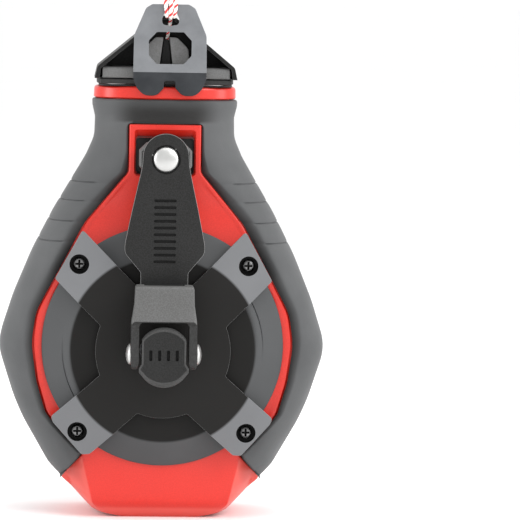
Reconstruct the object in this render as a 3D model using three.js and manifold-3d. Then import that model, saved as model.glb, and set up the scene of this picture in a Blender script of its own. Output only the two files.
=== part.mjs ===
// Chalk line reel: a pear-shaped case with rubber grips, a folding crank with a
// planetary gear train, a spool of line, a chalk-filling nose cap and a steel hook.
// Millimetres, +Z up. The origin is the middle of the flat foot. The front, with the
// crank, faces -Y. The crank and the spool turn about a line along Y at height DIAL_Z.

import * as THREE from "three";
import { mergeVertices } from "three/addons/utils/BufferGeometryUtils.js";
import Module from "manifold-3d";

const wasm = await Module();
wasm.setup();

// ---------------------------------------------------------------- driving dimensions

const GAP = 0.3; // clearance between neighbouring pieces
const DIAL_Z = 72; // height of the crank axis over the foot
const GRIP_SKIN = 2.5; // thickness of the rubber grips
const WALL = 2.4; // thickness of the plastic case
const BODY_DEPTH = 26; // half depth over the grips at the dial
const NECK_DEPTH = 20.4; // half depth over the grips at the neck
const NECK_TOP = 176; // where the case ends and the collar starts

// right half of the case's side, from foot to neck: half width, height, corner radius
const SIDE = [
  [20, 0, 0],
  [28, 1.8, 6],
  [47, 22, 10],
  [60.6, 50, 60],
  [69.2, 72.5, 20],
  [62.2, 91.5, 50],
  [45.8, 128.5, 60],
  [32, 151.6, 12],
  [29.3, 159.5, 12],
  [29.3, 168, 6],
  [30.5, 173, 4],
  [30.5, NECK_TOP, 0],
];

// half depth over the grips against height
const DEPTH = [
  [0, 19.4],
  [6.5, 25.6],
  [12, BODY_DEPTH],
  [110, BODY_DEPTH],
  [135.5, NECK_DEPTH],
  [NECK_TOP, NECK_DEPTH],
];

// right half of the red face, from the pocket's top to the foot: x, z, corner radius
const FACE = [
  [0, 165.7, 0],
  [15.4, 165.7, 0],
  [15.4, 145.4, 3],
  [33.3, 124, 20],
  [52.8, 87, 20],
  [54.6, 74, 30],
  [52.4, 58, 20],
  [48.4, 44.4, 6],
  [33.2, 27.3, 0],
  [46.8, 12, 0],
  [46.8, -5, 0],
  [0, -5, 0],
];

const SPOOL_FLANGE_R = 46;
const SPOOL_DRUM_R = 13;
const SPOOL_HALF = 17.8; // half width over the flanges
const FLANGE_T = 1.4;
const WINDING_R = 38;
const AXLE_R = 3;

const MODULE = 1.75; // gear module
const PRESSURE = THREE.MathUtils.degToRad(25);
const SUN_TEETH = 12;
const PLANET_TEETH = 12;
const RING_TEETH = SUN_TEETH + 2 * PLANET_TEETH;
const ADDENDUM = 0.8 * MODULE;
const DEDENDUM = 1.1 * MODULE;
const BACKLASH = 0.2;
const PLANET_ORBIT = (MODULE * (SUN_TEETH + PLANET_TEETH)) / 2;
const PLANETS = 3;
const PLANET_PIN_R = 2.2;
const GEAR_BACK = -21.3; // y of the gears' rear faces
const GEAR_FRONT = -26.3;
const RING_OUTER_R = 36;

const DOME_R = 50.4;
const DOME_TOP_R = 38.4;
const DOME_TOP = -30.2;
const DOME_T = 2;
const RIM_LIFT = 1.2; // how far the housing's rim sits above the dial's centre

const COVER_FRONT = -34;
const COVER_T = 2;
const COVER_CREASE_R = 40.5;
const COVER_HUB_R = 28;
const LEG_HALF = 11.1;
const LEG_SLOPE = 0.26; // how the legs fall away outside the crease
const SHAFT_HOLE_R = 9.5;

const HINGE_Y = -46; // the folding crank's hinge line, along X at height DIAL_Z
const HUB_HALF_W = 10.3;
const HUB_HALF_H = 12.7;
const BUTTON_HALF_W = 8.9;
const BUTTON_HALF_H = 11.4;
const BUTTON_TRAVEL = 2.5;
const CRANK_R = 79.7; // crank axis to knob axis
const ARM_BACK = -34.5;
const ARM_FRONT = -38.5;
const KNOB_HALF_W = 10.9;
const KNOB_HALF_H = 6.5;
const KNOB_BACK = -21.2;

const COLLAR_TOP = 181;
const CAP_BOTTOM = 181.9;
const CAP_HINGE = [20.8, 183]; // y and z of the nose cap's hinge line, along X
const LINE_R = 0.8; // chalk line
const LINE_Y = -8; // the line's way through the nose
const HOOK_X = 1.4; // the hook hangs a little off the middle

// ---------------------------------------------------------------- materials

const paint = (color, roughness, metalness = 0) =>
  new THREE.MeshStandardMaterial({ color, roughness, metalness });

const RED = paint(0xdf3a2c, 0.4);
const RUBBER = paint(0x6d6f72, 0.75);
const DARK_PLASTIC = paint(0x3a3a39, 0.5);
const GREY_PLASTIC = paint(0x77787a, 0.45);
const BLACK_PLASTIC = paint(0x1c1b1a, 0.5);
const STEEL = paint(0x9a9da1, 0.35, 0.9);
const BRIGHT_STEEL = paint(0xd8d9da, 0.3, 1);
const ACETAL = paint(0xe8e4da, 0.45);
const FELT = paint(0x55504a, 0.95);
const LINE = paint(0xc96a66, 0.85);

// ---------------------------------------------------------------- shape helpers

// the geometry as one clean closed surface: shared vertices merged, faces outward
function cleaned(geometry) {
  geometry.deleteAttribute("normal");
  geometry.deleteAttribute("uv");
  const merged = mergeVertices(geometry, 1e-5);
  const position = merged.attributes.position;
  const corner = [0, 1, 2].map(() => new THREE.Vector3());
  const kept = [];
  let volume = 0;
  for (let i = 0; i < merged.index.count; i += 3) {
    const ids = [0, 1, 2].map((k) => merged.index.getX(i + k));
    if (new Set(ids).size < 3) continue;
    ids.forEach((id, k) => corner[k].fromBufferAttribute(position, id));
    volume += corner[0].dot(corner[1].clone().cross(corner[2]));
    kept.push(ids);
  }
  if (volume < 0) kept.forEach((ids) => ids.reverse());
  merged.setIndex(kept.flat());
  return merged;
}

const solid = (shape) =>
  shape.isBufferGeometry
    ? new wasm.Manifold(
        new wasm.Mesh({
          numProp: 3,
          vertProperties: new Float32Array(shape.attributes.position.array),
          triVerts: new Uint32Array(shape.index.array),
        }),
      )
    : shape;

const join = (first, ...rest) => rest.reduce((sum, one) => sum.add(solid(one)), solid(first));
const cut = (first, ...rest) => rest.reduce((left, one) => left.subtract(solid(one)), solid(first));
const common = (first, second) => solid(first).intersect(solid(second));

function geometryOf(shape) {
  if (shape.isBufferGeometry) return shape;
  const mesh = shape.getMesh();
  const geometry = new THREE.BufferGeometry();
  geometry.setAttribute("position", new THREE.BufferAttribute(mesh.vertProperties, 3));
  geometry.setIndex(new THREE.BufferAttribute(mesh.triVerts, 1));
  return geometry;
}

// a polyline with its corners rounded: [x, y, radius] in, [x, y] out, ends kept
function rounded(corners, closed = false) {
  const out = [];
  const count = corners.length;
  corners.forEach(([x, y, radius = 0], i) => {
    const end = !closed && (i === 0 || i === count - 1);
    if (end || !radius) {
      out.push([x, y]);
      return;
    }
    const here = new THREE.Vector2(x, y);
    const before = corners[(i + count - 1) % count];
    const after = corners[(i + 1) % count];
    const back = new THREE.Vector2(before[0], before[1]).sub(here);
    const ahead = new THREE.Vector2(after[0], after[1]).sub(here);
    const reach = 0.48 * Math.min(back.length(), ahead.length());
    back.normalize();
    ahead.normalize();
    const half = Math.acos(THREE.MathUtils.clamp(back.dot(ahead), -1, 1)) / 2;
    const tangent = Math.min(radius / Math.tan(half), reach);
    const start = here.clone().addScaledVector(back, tangent);
    const finish = here.clone().addScaledVector(ahead, tangent);
    const steps = Math.max(1, Math.ceil((Math.PI - 2 * half) / 0.3));
    for (let k = 0; k <= steps; k += 1) {
      const t = k / steps;
      const a = start.clone().lerp(here, t);
      const b = here.clone().lerp(finish, t);
      a.lerp(b, t);
      out.push([a.x, a.y]);
    }
  });
  return out;
}

// the right half of an outline, from top to bottom, closed with its mirror image
function mirrored(half) {
  const left = half.filter(([x]) => x > 1e-6).map(([x, z]) => [-x, z]).reverse();
  return [...half, ...left];
}

function prism(points, depth) {
  const shape = new THREE.Shape(points.map(([a, b]) => new THREE.Vector2(a, b)));
  return cleaned(new THREE.ExtrudeGeometry(shape, { depth, bevelEnabled: false }));
}

// an x, z outline pushed along Y
const prismY = (points, y0, y1) => prism(points, y1 - y0).rotateX(Math.PI / 2).translate(0, y1, 0);

// a y, z outline pushed along X
const ONTO_X = new THREE.Matrix4().set(0, 0, 1, 0, 1, 0, 0, 0, 0, 1, 0, 0, 0, 0, 0, 1);
const prismX = (points, x0, x1) => prism(points, x1 - x0).applyMatrix4(ONTO_X).translate(x0, 0, 0);

// an x, y outline pushed along Z
const prismZ = (points, z0, z1) => prism(points, z1 - z0).translate(0, 0, z0);

const block = (x0, x1, y0, y1, z0, z1) =>
  prismZ([[x0, y0], [x1, y0], [x1, y1], [x0, y1]], z0, z1);

// a closed [radius, y] profile turned about the Y axis
function turned(profile, segments = 36) {
  const points = profile.map(([r, y]) => new THREE.Vector2(r, y));
  return cleaned(new THREE.LatheGeometry([...points, points[0].clone()], segments));
}

const disc = (radius, y0, y1, segments = 36) =>
  turned([[0, y0], [radius, y0], [radius, y1], [0, y1]], segments);

const ring = (inner, outer, y0, y1, segments = 36) =>
  turned([[inner, y0], [outer, y0], [outer, y1], [inner, y1]], segments);

// a round post along Y with its axis at x, z
const post = (x, z, radius, y0, y1, segments = 12) =>
  disc(radius, y0, y1, segments).translate(x, 0, z);

// rings of equally many [x, y] points at rising heights, skinned and capped
function loft(rings) {
  const count = rings[0].points.length;
  const positions = rings.flatMap(({ z, points }) => points.flatMap(([x, y]) => [x, y, z]));
  const index = [];
  for (let row = 0; row + 1 < rings.length; row += 1) {
    for (let k = 0; k < count; k += 1) {
      const next = (k + 1) % count;
      const [a, b] = [row * count + k, row * count + next];
      const [c, d] = [a + count, b + count];
      index.push(a, b, d, a, d, c);
    }
  }
  const top = (rings.length - 1) * count;
  for (let k = 1; k + 1 < count; k += 1) {
    index.push(0, k + 1, k);
    index.push(top, top + k, top + k + 1);
  }
  const geometry = new THREE.BufferGeometry();
  geometry.setAttribute("position", new THREE.Float32BufferAttribute(positions, 3));
  geometry.setIndex(index);
  return cleaned(geometry);
}

function roundSection(radius, sides) {
  const points = [];
  for (let k = 0; k < sides; k += 1) {
    const angle = (2 * Math.PI * k) / sides;
    points.push(new THREE.Vector2(radius * Math.cos(angle), radius * Math.sin(angle)));
  }
  return new THREE.Shape(points);
}

function tubeAlong(points, radius, steps, sides = 8) {
  const path = new THREE.CatmullRomCurve3(points.map((p) => new THREE.Vector3(...p)));
  return cleaned(new THREE.ExtrudeGeometry(roundSection(radius, sides), { steps, extrudePath: path }));
}

// value at z on a list of [z, value] points
function lookUp(list, z) {
  const last = list.length - 1;
  if (z <= list[0][0]) return list[0][1];
  for (let i = 0; i < last; i += 1) {
    const [z0, v0] = list[i];
    const [z1, v1] = list[i + 1];
    if (z <= z1) return v0 + ((v1 - v0) * (z - z0)) / (z1 - z0);
  }
  return list[last][1];
}

// ---------------------------------------------------------------- the case

// the heights at which the case's skin is faceted
const LEVELS = [
  0, 1.8, 6.5, 12, 16, 22, 32, 44, 56, 64, 72, 80, 92, 110, 124, 135.5, 144, 151, 158, 168, 173, NECK_TOP,
];
const SIDE_LINE = rounded(SIDE).map(([w, z]) => [z, w]);
const SIDE_FACETS = LEVELS.map((z) => [z, lookUp(SIDE_LINE, z)]);
const sideAt = (z) => lookUp(SIDE_FACETS, z);
const depthAt = (z) => lookUp(DEPTH, z);

// one level of the case: a box with its four corners swept away over cornerX by
// cornerY, along an ellipse (bulge 1) or a straight bevel (bulge 0)
function section(halfW, halfD, cornerX, cornerY, bulge = 1, steps = 3) {
  const rx = Math.min(cornerX, 0.85 * halfW);
  const ry = Math.min(cornerY, 0.85 * halfD);
  const points = [];
  for (const [sx, sy, flip] of [[1, -1, 1], [1, 1, 0], [-1, 1, 1], [-1, -1, 0]]) {
    for (let k = 0; k <= steps; k += 1) {
      const t = flip ? k / steps : 1 - k / steps;
      const angle = (t * Math.PI) / 2;
      const px = bulge * Math.sin(angle) + (1 - bulge) * t;
      const py = bulge * Math.cos(angle) + (1 - bulge) * (1 - t);
      points.push([sx * (halfW - rx + rx * px), sy * (halfD - ry + ry * py)]);
    }
  }
  return points;
}

const CORNER_X = 12;
const CORNER_Y = 17;

// the case's body between two heights, made smaller all round by inset
function body(inset, z0, z1) {
  const heights = [z0, ...LEVELS.filter((z) => z > z0 && z < z1), z1];
  return loft(
    heights.map((z) => ({
      z,
      points: section(sideAt(z) - inset, depthAt(z) - inset, CORNER_X, CORNER_Y),
    })),
  );
}

// the foot's share of the front view, clear of the grips' slanted ends
const FOOT_TOP = 27;
const FOOT_OUTLINE = mirrored([[0, FOOT_TOP], [32.9, FOOT_TOP], [46.4, 11.8], [46.4, -5], [0, -5]]);

// the foot's front is flat between its creases, which lean outwards going up
const creaseAt = (z) => 27.2 + 0.14 * z;

// the foot: flat bevels beside a flat front, as wide as the grips
function foot() {
  const faceInset = GRIP_SKIN + GAP;
  const heights = [...LEVELS.filter((z) => z < FOOT_TOP), FOOT_TOP];
  const bevelled = loft(
    heights.map((z) => {
      const halfW = sideAt(z);
      const halfD = depthAt(z) - faceInset;
      return { z, points: section(halfW, halfD, Math.max(4, halfW - creaseAt(z)), halfD - 9, 0.15) };
    }),
  );
  return common(bevelled, prismY(FOOT_OUTLINE, -60, 60));
}

// places of the screws: in the case, and about the dial's centre in the cover
const CASE_SCREWS = [[14.5, 141], [50.4, 72], [30, 25]].flatMap(([x, z]) => [[-x, z], [x, z]]);
const COVER_SCREWS = [[35.1, 35.5], [35.1, -34.3]].flatMap(([x, z]) => [[-x, z], [x, z]]);

const FACE_OUTLINE = mirrored(rounded(FACE));
const POCKET = { halfW: 15.1, z0: 143.6, z1: 165.4, rim: 2.3, floor: -11 };
const FACE_Y = -(BODY_DEPTH - GRIP_SKIN - GAP); // the red face at the dial
const FACE_BACK = FACE_Y + WALL;

const caseCore = body(GRIP_SKIN + GAP, 10, NECK_TOP);

// both halves of the red case as one hollow body
function caseShell() {
  const inside = body(GRIP_SKIN + GAP + WALL, 3, NECK_TOP + 1);
  return cut(join(caseCore, foot()), inside);
}

// a screw boss, kept inside the case's skin
const boss = (x, z, radius, y0, y1) => common(post(x, z, radius, y0, y1), caseCore);

// the case parts at y 0, but for a tongue of the front half across the foot's floor
const TONGUE = { halfW: 12, reach: 6, top: 4 };
const FRONT_HALF = join(
  block(-80, 80, -60, -GAP / 2, -5, 200),
  block(-TONGUE.halfW, TONGUE.halfW, -1, TONGUE.reach, -5, TONGUE.top),
);
const REAR_HALF = cut(
  block(-80, 80, GAP / 2, 60, -5, 200),
  block(-TONGUE.halfW - GAP, TONGUE.halfW + GAP, -1, TONGUE.reach + GAP, -6, TONGUE.top + GAP),
);

function frontShell(shell) {
  const { halfW, z0, z1, rim, floor } = POCKET;
  const front = -(NECK_DEPTH - GAP);
  const pocketWall = block(-halfW, halfW, front, floor + rim, z0, z1);
  const pocket = block(-halfW + rim, halfW - rim, front - 1, floor, z0 + rim, z1 - rim);
  const bosses = CASE_SCREWS.map(([x, z]) => boss(x, z, 3.6, -BODY_DEPTH, -GAP / 2));
  const pilots = CASE_SCREWS.map(([x, z]) => post(x, z, 1.8, -11, 1, 8));
  const bossEnd = -SPOOL_HALF - GAP;
  const coverBosses = COVER_SCREWS.map(([x, z]) => post(x, z + DIAL_Z, 3.4, FACE_Y + 1, bossEnd));
  const coverPilots = COVER_SCREWS.map(([x, z]) => post(x, z + DIAL_Z, 1.8, FACE_Y - 5, bossEnd + 1, 8));
  const half = common(shell, FRONT_HALF);
  const dial = post(0, DIAL_Z, RING_OUTER_R + 0.4, -40, FACE_BACK + 1, 48);
  return cut(join(half, pocketWall, ...bosses, ...coverBosses), pocket, dial, ...pilots, ...coverPilots);
}

function rearShell(shell) {
  const rear = (z) => depthAt(z) - GRIP_SKIN - GAP;
  const bosses = CASE_SCREWS.map(([x, z]) => boss(x, z, 3.9, GAP / 2, BODY_DEPTH));
  const holes = CASE_SCREWS.map(([x, z]) => post(x, z, 1.9, -1, 40, 8));
  const sinks = CASE_SCREWS.map(([x, z]) => post(x, z, 3, rear(z) - 6, 40, 12));
  const axleBoss = post(0, DIAL_Z, 7, 19, -FACE_Y - 1, 16);
  const axleHole = post(0, DIAL_Z, AXLE_R + GAP, -1, 40, 16);
  const half = common(shell, REAR_HALF);
  return cut(join(half, ...bosses, axleBoss), axleHole, ...holes, ...sinks);
}

// the rubber skin: everything outside the red face, split between the two halves
function gripSkin() {
  const layer = cut(body(0, 12, NECK_TOP - 0.5), body(GRIP_SKIN, 11, NECK_TOP + 1));
  const notches = COVER_SCREWS.map(([x, z]) => post(x, z + DIAL_Z, 4.7, -40, 0));
  return cut(layer, prismY(FACE_OUTLINE, -40, 40), ...notches);
}

// the neck's own outline, offset inwards, as an x, y outline
const neckOutline = (inset, depthInset = inset) =>
  section(sideAt(NECK_TOP) - inset, NECK_DEPTH - depthInset, 7, 7);

function mouthCollar() {
  const outer = prismZ(neckOutline(0.5), NECK_TOP + GAP, COLLAR_TOP);
  const mouth = prismZ(neckOutline(5.4), NECK_TOP - 1, COLLAR_TOP + 1);
  const knuckles = [-11, 11].map((x) =>
    join(
      pinX(2.6, x - 4, x + 4, 12).translate(0, CAP_HINGE[0], CAP_HINGE[1]),
      block(x - 4, x + 4, 18.4, CAP_HINGE[0] + 2.6, COLLAR_TOP - 2, CAP_HINGE[1]),
    ),
  );
  const bore = pinX(1.8, -30, 30, 12).translate(0, ...CAP_HINGE);
  const capKnuckle = pinX(3.1, -7, 7, 12).translate(0, ...CAP_HINGE);
  return cut(join(cut(outer, mouth), ...knuckles), bore, capKnuckle);
}

function mouthGasket() {
  const outer = prismZ(neckOutline(2.6, 3.4), COLLAR_TOP + 0.1, CAP_BOTTOM - 0.1);
  return cut(outer, prismZ(neckOutline(4.6), COLLAR_TOP - 1, CAP_BOTTOM + 1));
}

// ---------------------------------------------------------------- fasteners and pins

// a round bar along X, ends at x0 and x1
const pinX = (radius, x0, x1, segments = 20) =>
  disc(radius, x0, x1, segments).rotateZ(-Math.PI / 2);

// a cross-head screw along Y: its head's face at y 0, its tip at +Y
function screw(headR, headT, shankR, length) {
  const head = [[0, 0], [headR * 0.8, 0], [headR, headT * 0.4], [headR, headT]];
  const shank = [[shankR, headT], [shankR, length], [0, length]];
  const blank = turned([...head, ...shank], 10);
  const slot = (a, b) => block(-a, a, -1, headT * 0.7, -b, b);
  const [long, thin] = [headR * 0.6, headR * 0.16];
  return cut(blank, slot(long, thin), slot(thin, long));
}

// a domed rivet head and its shank along +Y from the dome's foot at y 0
function rivet(headR, headT, shankR, length) {
  const dome = [];
  const steps = 3;
  for (let k = 0; k <= steps; k += 1) {
    const angle = (k / steps) * (Math.PI / 2);
    dome.push([headR * Math.sin(angle), -headT * Math.cos(angle)]);
  }
  return turned([...dome, [shankR, 0], [shankR, length], [0, length]], 16);
}

// ---------------------------------------------------------------- gear train

const involute = (angle) => Math.tan(angle) - angle;

// outline of a gear between two radii; thick widens each tooth at the pitch circle
function gearOutline(teeth, radii, thick, phase = 0) {
  const pitchR = (MODULE * teeth) / 2;
  const baseR = pitchR * Math.cos(PRESSURE);
  const halfAt = (r) => {
    const roll = Math.acos(Math.min(1, baseR / Math.max(r, baseR)));
    return Math.PI / (2 * teeth) + thick / (2 * pitchR) + involute(PRESSURE) - involute(roll);
  };
  const points = [];
  for (let tooth = 0; tooth < teeth; tooth += 1) {
    const middle = phase + (2 * Math.PI * tooth) / teeth;
    const place = (r, side) => {
      const angle = middle + side * halfAt(r);
      return [r * Math.cos(angle), r * Math.sin(angle)];
    };
    radii.forEach((r) => points.push(place(r, -1)));
    [...radii].reverse().forEach((r) => points.push(place(r, 1)));
  }
  return points;
}

function spurGear(teeth, boreR, phase) {
  const pitchR = (MODULE * teeth) / 2;
  const [root, tip] = [pitchR - DEDENDUM, pitchR + ADDENDUM];
  const flank = [root, root + 0.5 * (tip - root), tip];
  const blank = prismY(gearOutline(teeth, flank, -BACKLASH, phase), GEAR_FRONT, GEAR_BACK);
  return cut(blank, disc(boreR, GEAR_FRONT - 1, GEAR_BACK + 1, 12));
}

function ringGear() {
  const pitchR = (MODULE * RING_TEETH) / 2;
  const [inner, outer] = [pitchR - ADDENDUM, pitchR + DEDENDUM];
  const phase = Math.PI / 2 + Math.PI / RING_TEETH;
  const hole = gearOutline(RING_TEETH, [inner, outer], BACKLASH, phase);
  const blank = disc(RING_OUTER_R, GEAR_FRONT - 0.9, GEAR_BACK);
  return cut(blank, prismY(hole, GEAR_FRONT - 3, GEAR_BACK + 1));
}

const planetAngle = (i) => Math.PI / 2 + (2 * Math.PI * i) / PLANETS;
const planetPlace = (i) => [
  PLANET_ORBIT * Math.cos(planetAngle(i)),
  PLANET_ORBIT * Math.sin(planetAngle(i)),
];

const CARRIER_FRONT = -27.9;
const CARRIER_BACK = -26.7;

function planetCarrier() {
  const plate = disc(27.5, CARRIER_FRONT, CARRIER_BACK, 28);
  const holes = Array.from({ length: PLANETS }, (_, i) => {
    const [x, z] = planetPlace(i);
    return post(x, z, PLANET_PIN_R + GAP, CARRIER_FRONT - 1, CARRIER_BACK + 1);
  });
  return cut(plate, disc(AXLE_R + GAP, CARRIER_FRONT - 1, CARRIER_BACK + 1, 20), ...holes);
}

const gearBackplate = () => ring(5.8, 38, FACE_BACK + GAP, FACE_BACK + GAP + 1.2, 28);

// ---------------------------------------------------------------- spool and line

function spoolDrum() {
  const [front, rear] = [-SPOOL_HALF, SPOOL_HALF];
  return turned(
    [
      [AXLE_R + 0.4, GEAR_BACK + GAP],
      [5.4, GEAR_BACK + GAP],
      [5.4, front],
      [SPOOL_FLANGE_R, front],
      [SPOOL_FLANGE_R, front + FLANGE_T],
      [SPOOL_DRUM_R, front + FLANGE_T],
      [SPOOL_DRUM_R, rear - FLANGE_T],
      [SPOOL_FLANGE_R, rear - FLANGE_T],
      [SPOOL_FLANGE_R, rear],
      [AXLE_R + 0.4, rear],
    ],
    28,
  );
}

function lineWinding() {
  const half = SPOOL_HALF - FLANGE_T - GAP;
  const [inner, shoulder] = [SPOOL_DRUM_R + GAP, WINDING_R - 1.5];
  return turned([[inner, -half], [shoulder, -half], [WINDING_R, 0], [shoulder, half], [inner, half]], 28);
}

// the line inside the case, from the winding up to the cap's throat
const lineInside = () =>
  tubeAlong([[0, 0, DIAL_Z + WINDING_R + 1], [0, -2, 135], [0, -4, 158], [0, LINE_Y, 167.6]], LINE_R, 16);

// the line through the nose cap, up behind the hook and forward through its eye
function lineRun() {
  const upright = [[0, LINE_Y, 168.6], [0, LINE_Y, 185], [0.2, LINE_Y - 2.6, 199]];
  const forward = [[HOOK_X, -17.5, 208], [HOOK_X, -20.4, 209.7]];
  return tubeAlong([...upright, ...forward], LINE_R, 16);
}

// ---------------------------------------------------------------- dial cover

// moves a turned shape's rim upwards, more and more beyond radius r0
function liftRim(geometry, r0, r1, lift) {
  const position = geometry.attributes.position;
  for (let i = 0; i < position.count; i += 1) {
    const out = Math.hypot(position.getX(i), position.getZ(i)) - r0;
    const share = THREE.MathUtils.clamp(out / (r1 - r0), 0, 1);
    position.setZ(i, position.getZ(i) + lift * share);
  }
  return geometry;
}

function gearHousing() {
  const shape = turned(
    [
      [36.5, FACE_Y - GAP],
      [DOME_R, FACE_Y - GAP],
      [DOME_R, FACE_Y - GAP - 0.8],
      [DOME_TOP_R, DOME_TOP],
      [SHAFT_HOLE_R + 1, DOME_TOP],
      [SHAFT_HOLE_R + 1, DOME_TOP + DOME_T],
      [36.5, DOME_TOP + DOME_T],
    ],
    48,
  );
  const notches = COVER_SCREWS.map(([x, z]) => post(x, z, 4.7, -35, -20));
  return cut(liftRim(shape, DOME_TOP_R, DOME_R, RIM_LIFT), ...notches);
}

// one leg of the cover, pointing along +X in its own frame; upper legs end on a slant
function legOutline(slanted) {
  const end = slanted
    ? [[52.6, -LEG_HALF], [59.2, LEG_HALF]]
    : [[25.7, -LEG_HALF], [52, -9.8], [54.6, -7.6], [53.6, 10.3], [52.6, 12.6], [25.7, LEG_HALF]];
  return [[0, -LEG_HALF], ...end, [0, LEG_HALF]];
}

function turnOutline(points, angle, flip) {
  const [c, s] = [Math.cos(angle), Math.sin(angle)];
  return points.map(([u, v]) => [u * c - flip * v * s, u * s + flip * v * c]);
}

function gearCover() {
  const quarter = Math.PI / 4;
  const legs = [
    [quarter, 1, true],
    [3 * quarter, -1, true],
    [-quarter, 1, false],
    [-3 * quarter, -1, false],
  ].map(([angle, flip, slanted]) => {
    const points = turnOutline(legOutline(slanted), angle, flip);
    return prismY(flip > 0 ? points : points.reverse(), COVER_FRONT - 2, -20);
  });
  const reach = 60;
  const drop = LEG_SLOPE * (reach - COVER_CREASE_R);
  const layer = turned(
    [
      [SHAFT_HOLE_R, COVER_FRONT],
      [COVER_CREASE_R, COVER_FRONT],
      [reach, COVER_FRONT + drop],
      [reach, COVER_FRONT + drop + COVER_T],
      [COVER_CREASE_R - 0.5, COVER_FRONT + COVER_T],
      [SHAFT_HOLE_R, COVER_FRONT + COVER_T],
    ],
    40,
  );
  const outline = join(disc(COVER_HUB_R, COVER_FRONT - 2, -20, 40), ...legs);
  const bosses = COVER_SCREWS.map(([x, z]) => post(x, z, 4.3, FACE_Y - GAP, COVER_FRONT + 4.6));
  const sinks = COVER_SCREWS.map(([x, z]) => post(x, z, 3.4, COVER_FRONT - 1, -27.4));
  const holes = COVER_SCREWS.map(([x, z]) => post(x, z, 1.8, -40, -10, 12));
  return cut(join(common(outline, layer), ...bosses), ...sinks, ...holes);
}

// ---------------------------------------------------------------- crank

// a box outline with its lower corners rounded by corner and its upper ones by less
function hubOutline(halfW, halfH, corner) {
  const top = 2;
  const lower = [[-halfW, -halfH, corner], [halfW, -halfH, corner]];
  const upper = [[halfW, halfH, top], [-halfW, halfH, top]];
  return rounded([...lower, ...upper], true);
}

const HUB_BACK = COVER_FRONT - 0.5;
const HUB_RIM = -49.2;
const BUTTON_FLOOR = -43;
const BUTTON_FRONT = -51.8;

function crankHub() {
  const boss = prismY(hubOutline(HUB_HALF_W, HUB_HALF_H, 9), HUB_RIM, HUB_BACK);
  const shaft = disc(SHAFT_HOLE_R - 0.5, HUB_BACK - 1, CARRIER_FRONT - GAP, 24);
  const wellOutline = hubOutline(BUTTON_HALF_W + GAP, BUTTON_HALF_H + GAP, 7.8);
  const well = prismY(wellOutline, HUB_RIM - 1, BUTTON_FLOOR);
  const springWell = disc(5.4, BUTTON_FLOOR - 1, -36, 16);
  const pinWell = disc(2.3, -37, CARRIER_FRONT + 1, 12);
  const bores = pinX(2.8, -20, 20, 12).translate(0, HINGE_Y, 0);
  return cut(join(boss, shaft), well, springWell, pinWell, bores);
}

function pushButton() {
  const back = BUTTON_FLOOR - BUTTON_TRAVEL - GAP;
  const cap = prismY(hubOutline(BUTTON_HALF_W, BUTTON_HALF_H, 7.5), BUTTON_FRONT + 0.8, back);
  const crownOutline = hubOutline(BUTTON_HALF_W - 1, BUTTON_HALF_H - 1, 6.5);
  const crown = prismY(crownOutline, BUTTON_FRONT, BUTTON_FRONT + 1);
  const grooves = [-4.5, -1.5, 1.5, 4.5].map((x) =>
    block(x - 0.5, x + 0.5, BUTTON_FRONT - 1, BUTTON_FRONT + 0.6, -3.5, 3.5),
  );
  return cut(join(cap, crown), ...grooves);
}

// the release pin under the button
const clutchPin = () => disc(1.9, BUTTON_FLOOR - BUTTON_TRAVEL, -31.5, 16);

function buttonSpring() {
  const turns = 4;
  const [front, back] = [BUTTON_FLOOR - BUTTON_TRAVEL + 0.9, -36.9];
  const points = [];
  for (let k = 0; k <= turns * 8; k += 1) {
    const angle = (2 * Math.PI * k) / 8;
    const t = k / (turns * 8);
    points.push([3.9 * Math.cos(angle), front + t * (back - front), 3.9 * Math.sin(angle)]);
  }
  return tubeAlong(points, 0.45, turns * 9, 5);
}

// the metal fork: two legs on the hinge rivets and a bridge that takes the arm's tang
const YOKE = { inner: 10.7, outer: 13.6, top: 12.2, bridge0: 15, bridge1: 29, front: -50.4, back: -41 };

function yoke() {
  const { inner, outer, top, bridge0, bridge1, front, back } = YOKE;
  const legSide = [[-52, 1.5], [-49.6, 5], [-49, bridge1], [back, bridge1], [-40, 2]];
  const legs = [-1, 1].map((s) => {
    const [a, b] = s > 0 ? [inner, outer] : [-outer, -inner];
    return join(prismX(legSide, a, b), pinX(6.2, a, b, 24).translate(0, HINGE_Y, 0));
  });
  const bridge = block(-outer, outer, front, back, bridge0, bridge1);
  const shoulders = [-1, 1].map((s) =>
    block(s > 0 ? top : -20, s > 0 ? 20 : -top, -60, -30, bridge0 + 3, bridge1 + 1),
  );
  const slot = block(-8.3, 8.3, -46.8, -42, bridge0 + 4.5, bridge1 + 1);
  const bores = pinX(2.8, -20, 20).translate(0, HINGE_Y, 0);
  return cut(join(bridge, ...legs), ...shoulders, slot, bores);
}

const ARM_SIDE = [
  [ARM_BACK, 100],
  [ARM_BACK, 32],
  [-37.5, YOKE.bridge1 + GAP],
  [-46.9, YOKE.bridge1 + GAP],
  [-46.9, 31.5],
  [ARM_FRONT, 34.5],
  [ARM_FRONT, 100],
];

const ARM_TIP_R = 9.5;
const ARM_TIP_Z = CRANK_R + 1.1; // the tip's arc is centred a little beyond the knob's axis

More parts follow.
